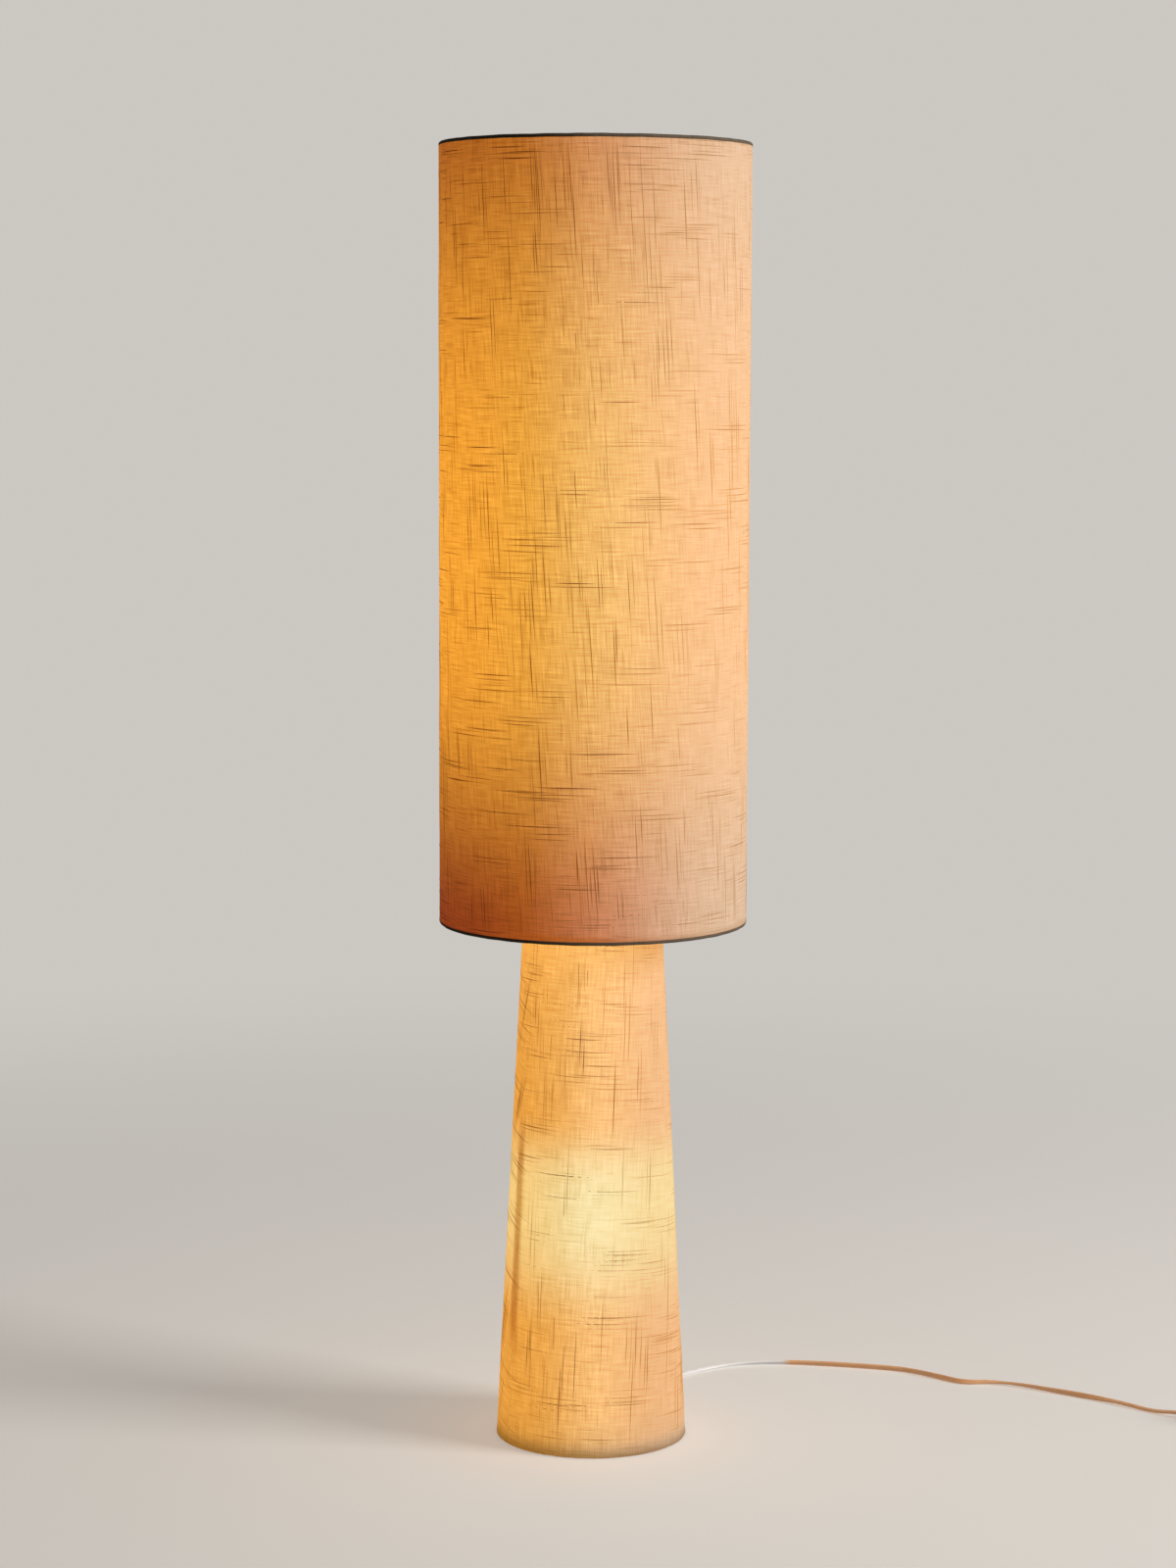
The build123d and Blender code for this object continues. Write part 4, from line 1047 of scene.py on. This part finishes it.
for name, finish in finishes.items():
    main, second, metallic, smooth, rough, grain_scale, patch_scale, depth, coat = finish
    material, tree, surface = open_material(name)
    grain = fine_grain(tree, grain_scale, patch_scale)
    worn = grain["Scratches"] if metallic == 1 else grain["Patches"]
    fill(tree, surface.inputs, {
        "Base Color": blend_colours(tree, grain["Patches"], main, second),
        "Roughness": spread(tree, worn, 0, 1, smooth, rough),
        "Normal": relief(tree, grain["Grain"], strength=1.0, depth=depth),
        "Metallic": metallic, "Coat Weight": coat})
    dress([nodes[node] for node, slot in slots.items() if slot == name], material)
    if name == "zinc_steel":
        dress([spring], material)
print("hard finishes", len(finishes))

# %% [markdown]
# Inside, the liner is a stiff translucent sheet that the bulbs light up. That light is painted
# on it as a glow, with the same drawing and its own pale colours, deeper on the left and paler
# on the right. The tape over its joint lets less light through, so less glow is painted there,
# and the bulbs are opal glass that shines evenly, with only a faint mottling.

# %% Light the liners and the bulbs
# The bulbs' light on the liner, painted as a glow, deeper on the left and paler on the right.
liner_glow = {
    "Left near": (1.0, 0.74, 0.40), "Left far": (0.42, 0.20, 0.06),
    "Front near": (1.0, 0.78, 0.46), "Front far": (0.48, 0.26, 0.09),
    "Right near": (1.0, 0.80, 0.50), "Right far": (0.52, 0.30, 0.12)}
liner_colour = (0.72, 0.68, 0.60)
tape_colour = (0.58, 0.48, 0.33)
aged_colour = (0.66, 0.62, 0.54)
bulb_brightness = 7


def lit_sheet(name, glow, share, colour):
    material, tree, surface = open_material(name)
    grain = fine_grain(tree, grain_scale=900, patch_scale=35)
    shine = place_group(tree, "cloth_glow", {"Place": own_place(tree), **glow, **liner_glow})["Colour"]
    light = spread(tree, grain["Patches"], 0, 1, 0.94 * share, share)
    fill(tree, surface.inputs, {
        "Base Color": blend_colours(tree, grain["Patches"], colour, aged_colour),
        "Emission Color": scaled(tree, shine, light), "Emission Strength": 1,
        "Normal": relief(tree, grain["Grain"], strength=1.0, depth=0.00005), "Roughness": 0.45})
    return material


for node, glow, share, colour in (
        ("shade_liner", shade_glow, 0.55, liner_colour),
        ("base_liner", cover_glow, 0.55, liner_colour),
        ("shade_seam_tape", shade_glow, 0.3, tape_colour),
        ("base_seam_tape", cover_glow, 0.3, tape_colour)):
    dress([nodes[node]], lit_sheet(node + "_lit", glow, share, colour))

material, tree, surface = open_material("opal_glass_lit")
grain = fine_grain(tree, grain_scale=120, patch_scale=25)
fill(tree, surface.inputs, {
    "Emission Color": blend_colours(tree, grain["Patches"], (1.0, 0.80, 0.52), (1.0, 0.84, 0.58)),
    "Emission Strength": bulb_brightness, "Base Color": (0.9, 0.86, 0.78), "Roughness": 0.18,
    "Coat Weight": 0.5})
dress([nodes["lower_bulb_glass"], nodes["upper_bulb_glass"]], material)
print("bulbs shine at", bulb_brightness)

# %% [markdown]
# The flex is copper strands in a clear sheath. The strands lie in a long twist, so they are
# drawn as slanting stripes on the lobe's own lengths, and the sheath is a clear coat over
# them. A clear sheath also carries light round to the strands' far side, so that no strand is
# quite dark, and for that a share of their colour is painted on as an even glow. On the first
# stretch behind the cover the strands are painted silvery white, a painted reflection of the
# window on the clear sheath, and it ends within a finger's width.

# %% Draw the twisted strands
tree, entry, leave = open_group(
    "twisted_strands", {"Surface": "Vector", "Strands": "Float", "Lay": "Float"},
    {"Height": "Float", "Strand": "Float"})
parts = parts_of(tree, entry["Surface"])
turned = add(tree, parts["X"], maths(tree, "DIVIDE", parts["Y"], entry["Lay"]))
strand_arch = arch(tree, product(tree, turned, entry["Strands"]))
spot = point_of(tree, product(tree, turned, 9), product(tree, parts["Y"], 30), 0.0)
uneven_strand = product(tree, noise_at(tree, spot, scale=1, detail=2), 0.6)
lit_strand = maths(tree, "MULTIPLY_ADD", strand_arch, 0.6, uneven_strand)
fill(tree, leave, {"Height": strand_arch, "Strand": spread(tree, lit_strand, 0.25, 0.95)})
print("strand nodes", len(tree.nodes))

# %% Finish the flex
# Painted reflection of the window on the clear sheath: silvery on the first stretch, then a short fade
# to copper.
sheen_end = 0.262
sheen_fades = 0.016
# A painted glow: this share of the strands' colour is given off as light.
sheath_light = 0.28
copper = ((0.55, 0.22, 0.075), (1.0, 0.56, 0.27))
sheen_colours = ((0.70, 0.70, 0.70), (1.0, 0.99, 0.98))


def flex_finish(name, with_sheen):
    material, tree, surface = open_material(name)
    lengths = surface_lengths(tree)
    strands = place_group(tree, "twisted_strands", {"Surface": lengths, "Strands": 9.0, "Lay": 0.028})
    colour = blend_colours(tree, strands["Strand"], *copper)
    # The painted reflection: silvery white strands on the first stretch.
    if with_sheen:
        past_sheen = ease(tree, parts_of(tree, lengths)["Y"], sheen_end, sheen_end + sheen_fades)
        painted_sheen = blend_colours(tree, strands["Strand"], *sheen_colours)
        colour = blend_colours(tree, past_sheen, painted_sheen, colour)
    fill(tree, surface.inputs, {
        "Base Color": colour, "Emission Color": colour, "Emission Strength": sheath_light,
        "Normal": relief(tree, strands["Height"], strength=0.5, depth=0.00015), "Roughness": 0.34,
        "Coat Weight": 0.6, "Coat Roughness": 0.08})
    return material


dress([flex_to_switch], flex_finish("flex_painted_sheen_start", True))
dress([flex_to_plug, nodes["inner_cord"]], flex_finish("flex_copper", False))
print("braid ends", sheen_end, "m from the gland")

# %% [markdown]
# The stage is a pale floor without an edge: its colour fades into the surround before the
# horizon, so no line crosses the picture. The camera sees both at the same level, and the lamp
# gets none of that light. Near the lamp a plain matt floor takes the light and the shadows,
# lifted evenly to the level of the surround.

# %% Lay the floor
surround = (0.60, 0.575, 0.54)
floor_lift = 0.62
floor_size = 60
fade_start, fade_end = 1.1, 3.2


def seen_directly(tree):
    """1 for what the camera sees, also in metal and through glass, and 0 for light on the lamp."""
    ray = wire(tree, "LightPath").outputs
    return maths(tree, "MAXIMUM", ray["Is Camera Ray"],
                 maths(tree, "MAXIMUM", ray["Is Glossy Ray"], ray["Is Transmission Ray"]))


def mix_shaders(tree, share, first, second):
    return wire(tree, "MixShader", {0: share, 1: first, 2: second}).outputs[0]


bpy.ops.mesh.primitive_plane_add(size=floor_size, location=(0, 0, 0))
floor = bpy.context.object
floor.name = "floor"
material, tree, surface = open_material("pale_floor")
tree.nodes.remove(surface)
place = own_place(tree)
far = ease(tree, length_of(tree, place), fade_start, fade_end)
mottle = noise_at(tree, place, scale=3.0, detail=5)
floor_colour = blend_colours(tree, mottle, (0.78, 0.76, 0.73), (0.82, 0.80, 0.77))
matt_floor = wire(tree, "BsdfDiffuse", {"Color": floor_colour}).outputs[0]
lift = wire(tree, "Emission", {"Color": surround, "Strength": floor_lift}).outputs[0]
near_floor = wire(tree, "AddShader", {0: matt_floor, 1: lift}).outputs[0]
far_floor = wire(tree, "Emission", {"Color": surround, "Strength": 1.0}).outputs[0]
bounce_floor = wire(tree, "BsdfDiffuse", {"Color": (0.18, 0.17, 0.16)}).outputs[0]
either = mix_shaders(tree, seen_directly(tree), bounce_floor,
                     mix_shaders(tree, far, near_floor, far_floor))
under = wire(tree, "NewGeometry").outputs["Backfacing"]
clear = wire(tree, "BsdfTransparent").outputs[0]
fill(tree, tree.nodes["Material Output"].inputs, {"Surface": mix_shaders(tree, under, either, clear)})
dress([floor], material)
print("floor fades from", fade_start, "to", fade_end, "m")

# %% Put up the surround
fill_light = 0.02
world = bpy.data.worlds.new("surround")
scene.world = world
world.use_nodes = True
tree = world.node_tree
tree.nodes.clear()
dim = wire(tree, "Background", {"Color": (1.0, 0.98, 0.95), "Strength": fill_light}).outputs[0]
back = wire(tree, "Background", {"Color": surround, "Strength": 1.0}).outputs[0]
wire(tree, "OutputWorld", {"Surface": mix_shaders(tree, seen_directly(tree), dim, back)})
print("surround lights the lamp at", fill_light)

# %% [markdown]
# Daylight comes from one tall window on the right, slightly to the front. It is a large soft
# lamp far enough off that the floor is lit evenly. It lights the right side of the cloth at a
# plain level and leaves the left side to its own glow.

# %% Hang the window light
window_power = 265
window_spot = Vector((5.4, -1.9, 2.5))
window_aim = Vector((0, 0, 0.75))
window = bpy.data.lights.new("window_light", "AREA")
window.shape = "RECTANGLE"
window.size = 2.4
window.size_y = 3.2
window.energy = window_power
window.color = (1.0, 0.97, 0.93)
hung = bpy.data.objects.new("window_light", window)
scene.collection.objects.link(hung)
hung.matrix_world = (Matrix.Translation(window_spot)
                     @ (window_spot - window_aim).to_track_quat("Z", "Y").to_matrix().to_4x4())
scene.view_settings.view_transform = "Standard"
print("window", round((window_spot - window_aim).length, 1), "m off")
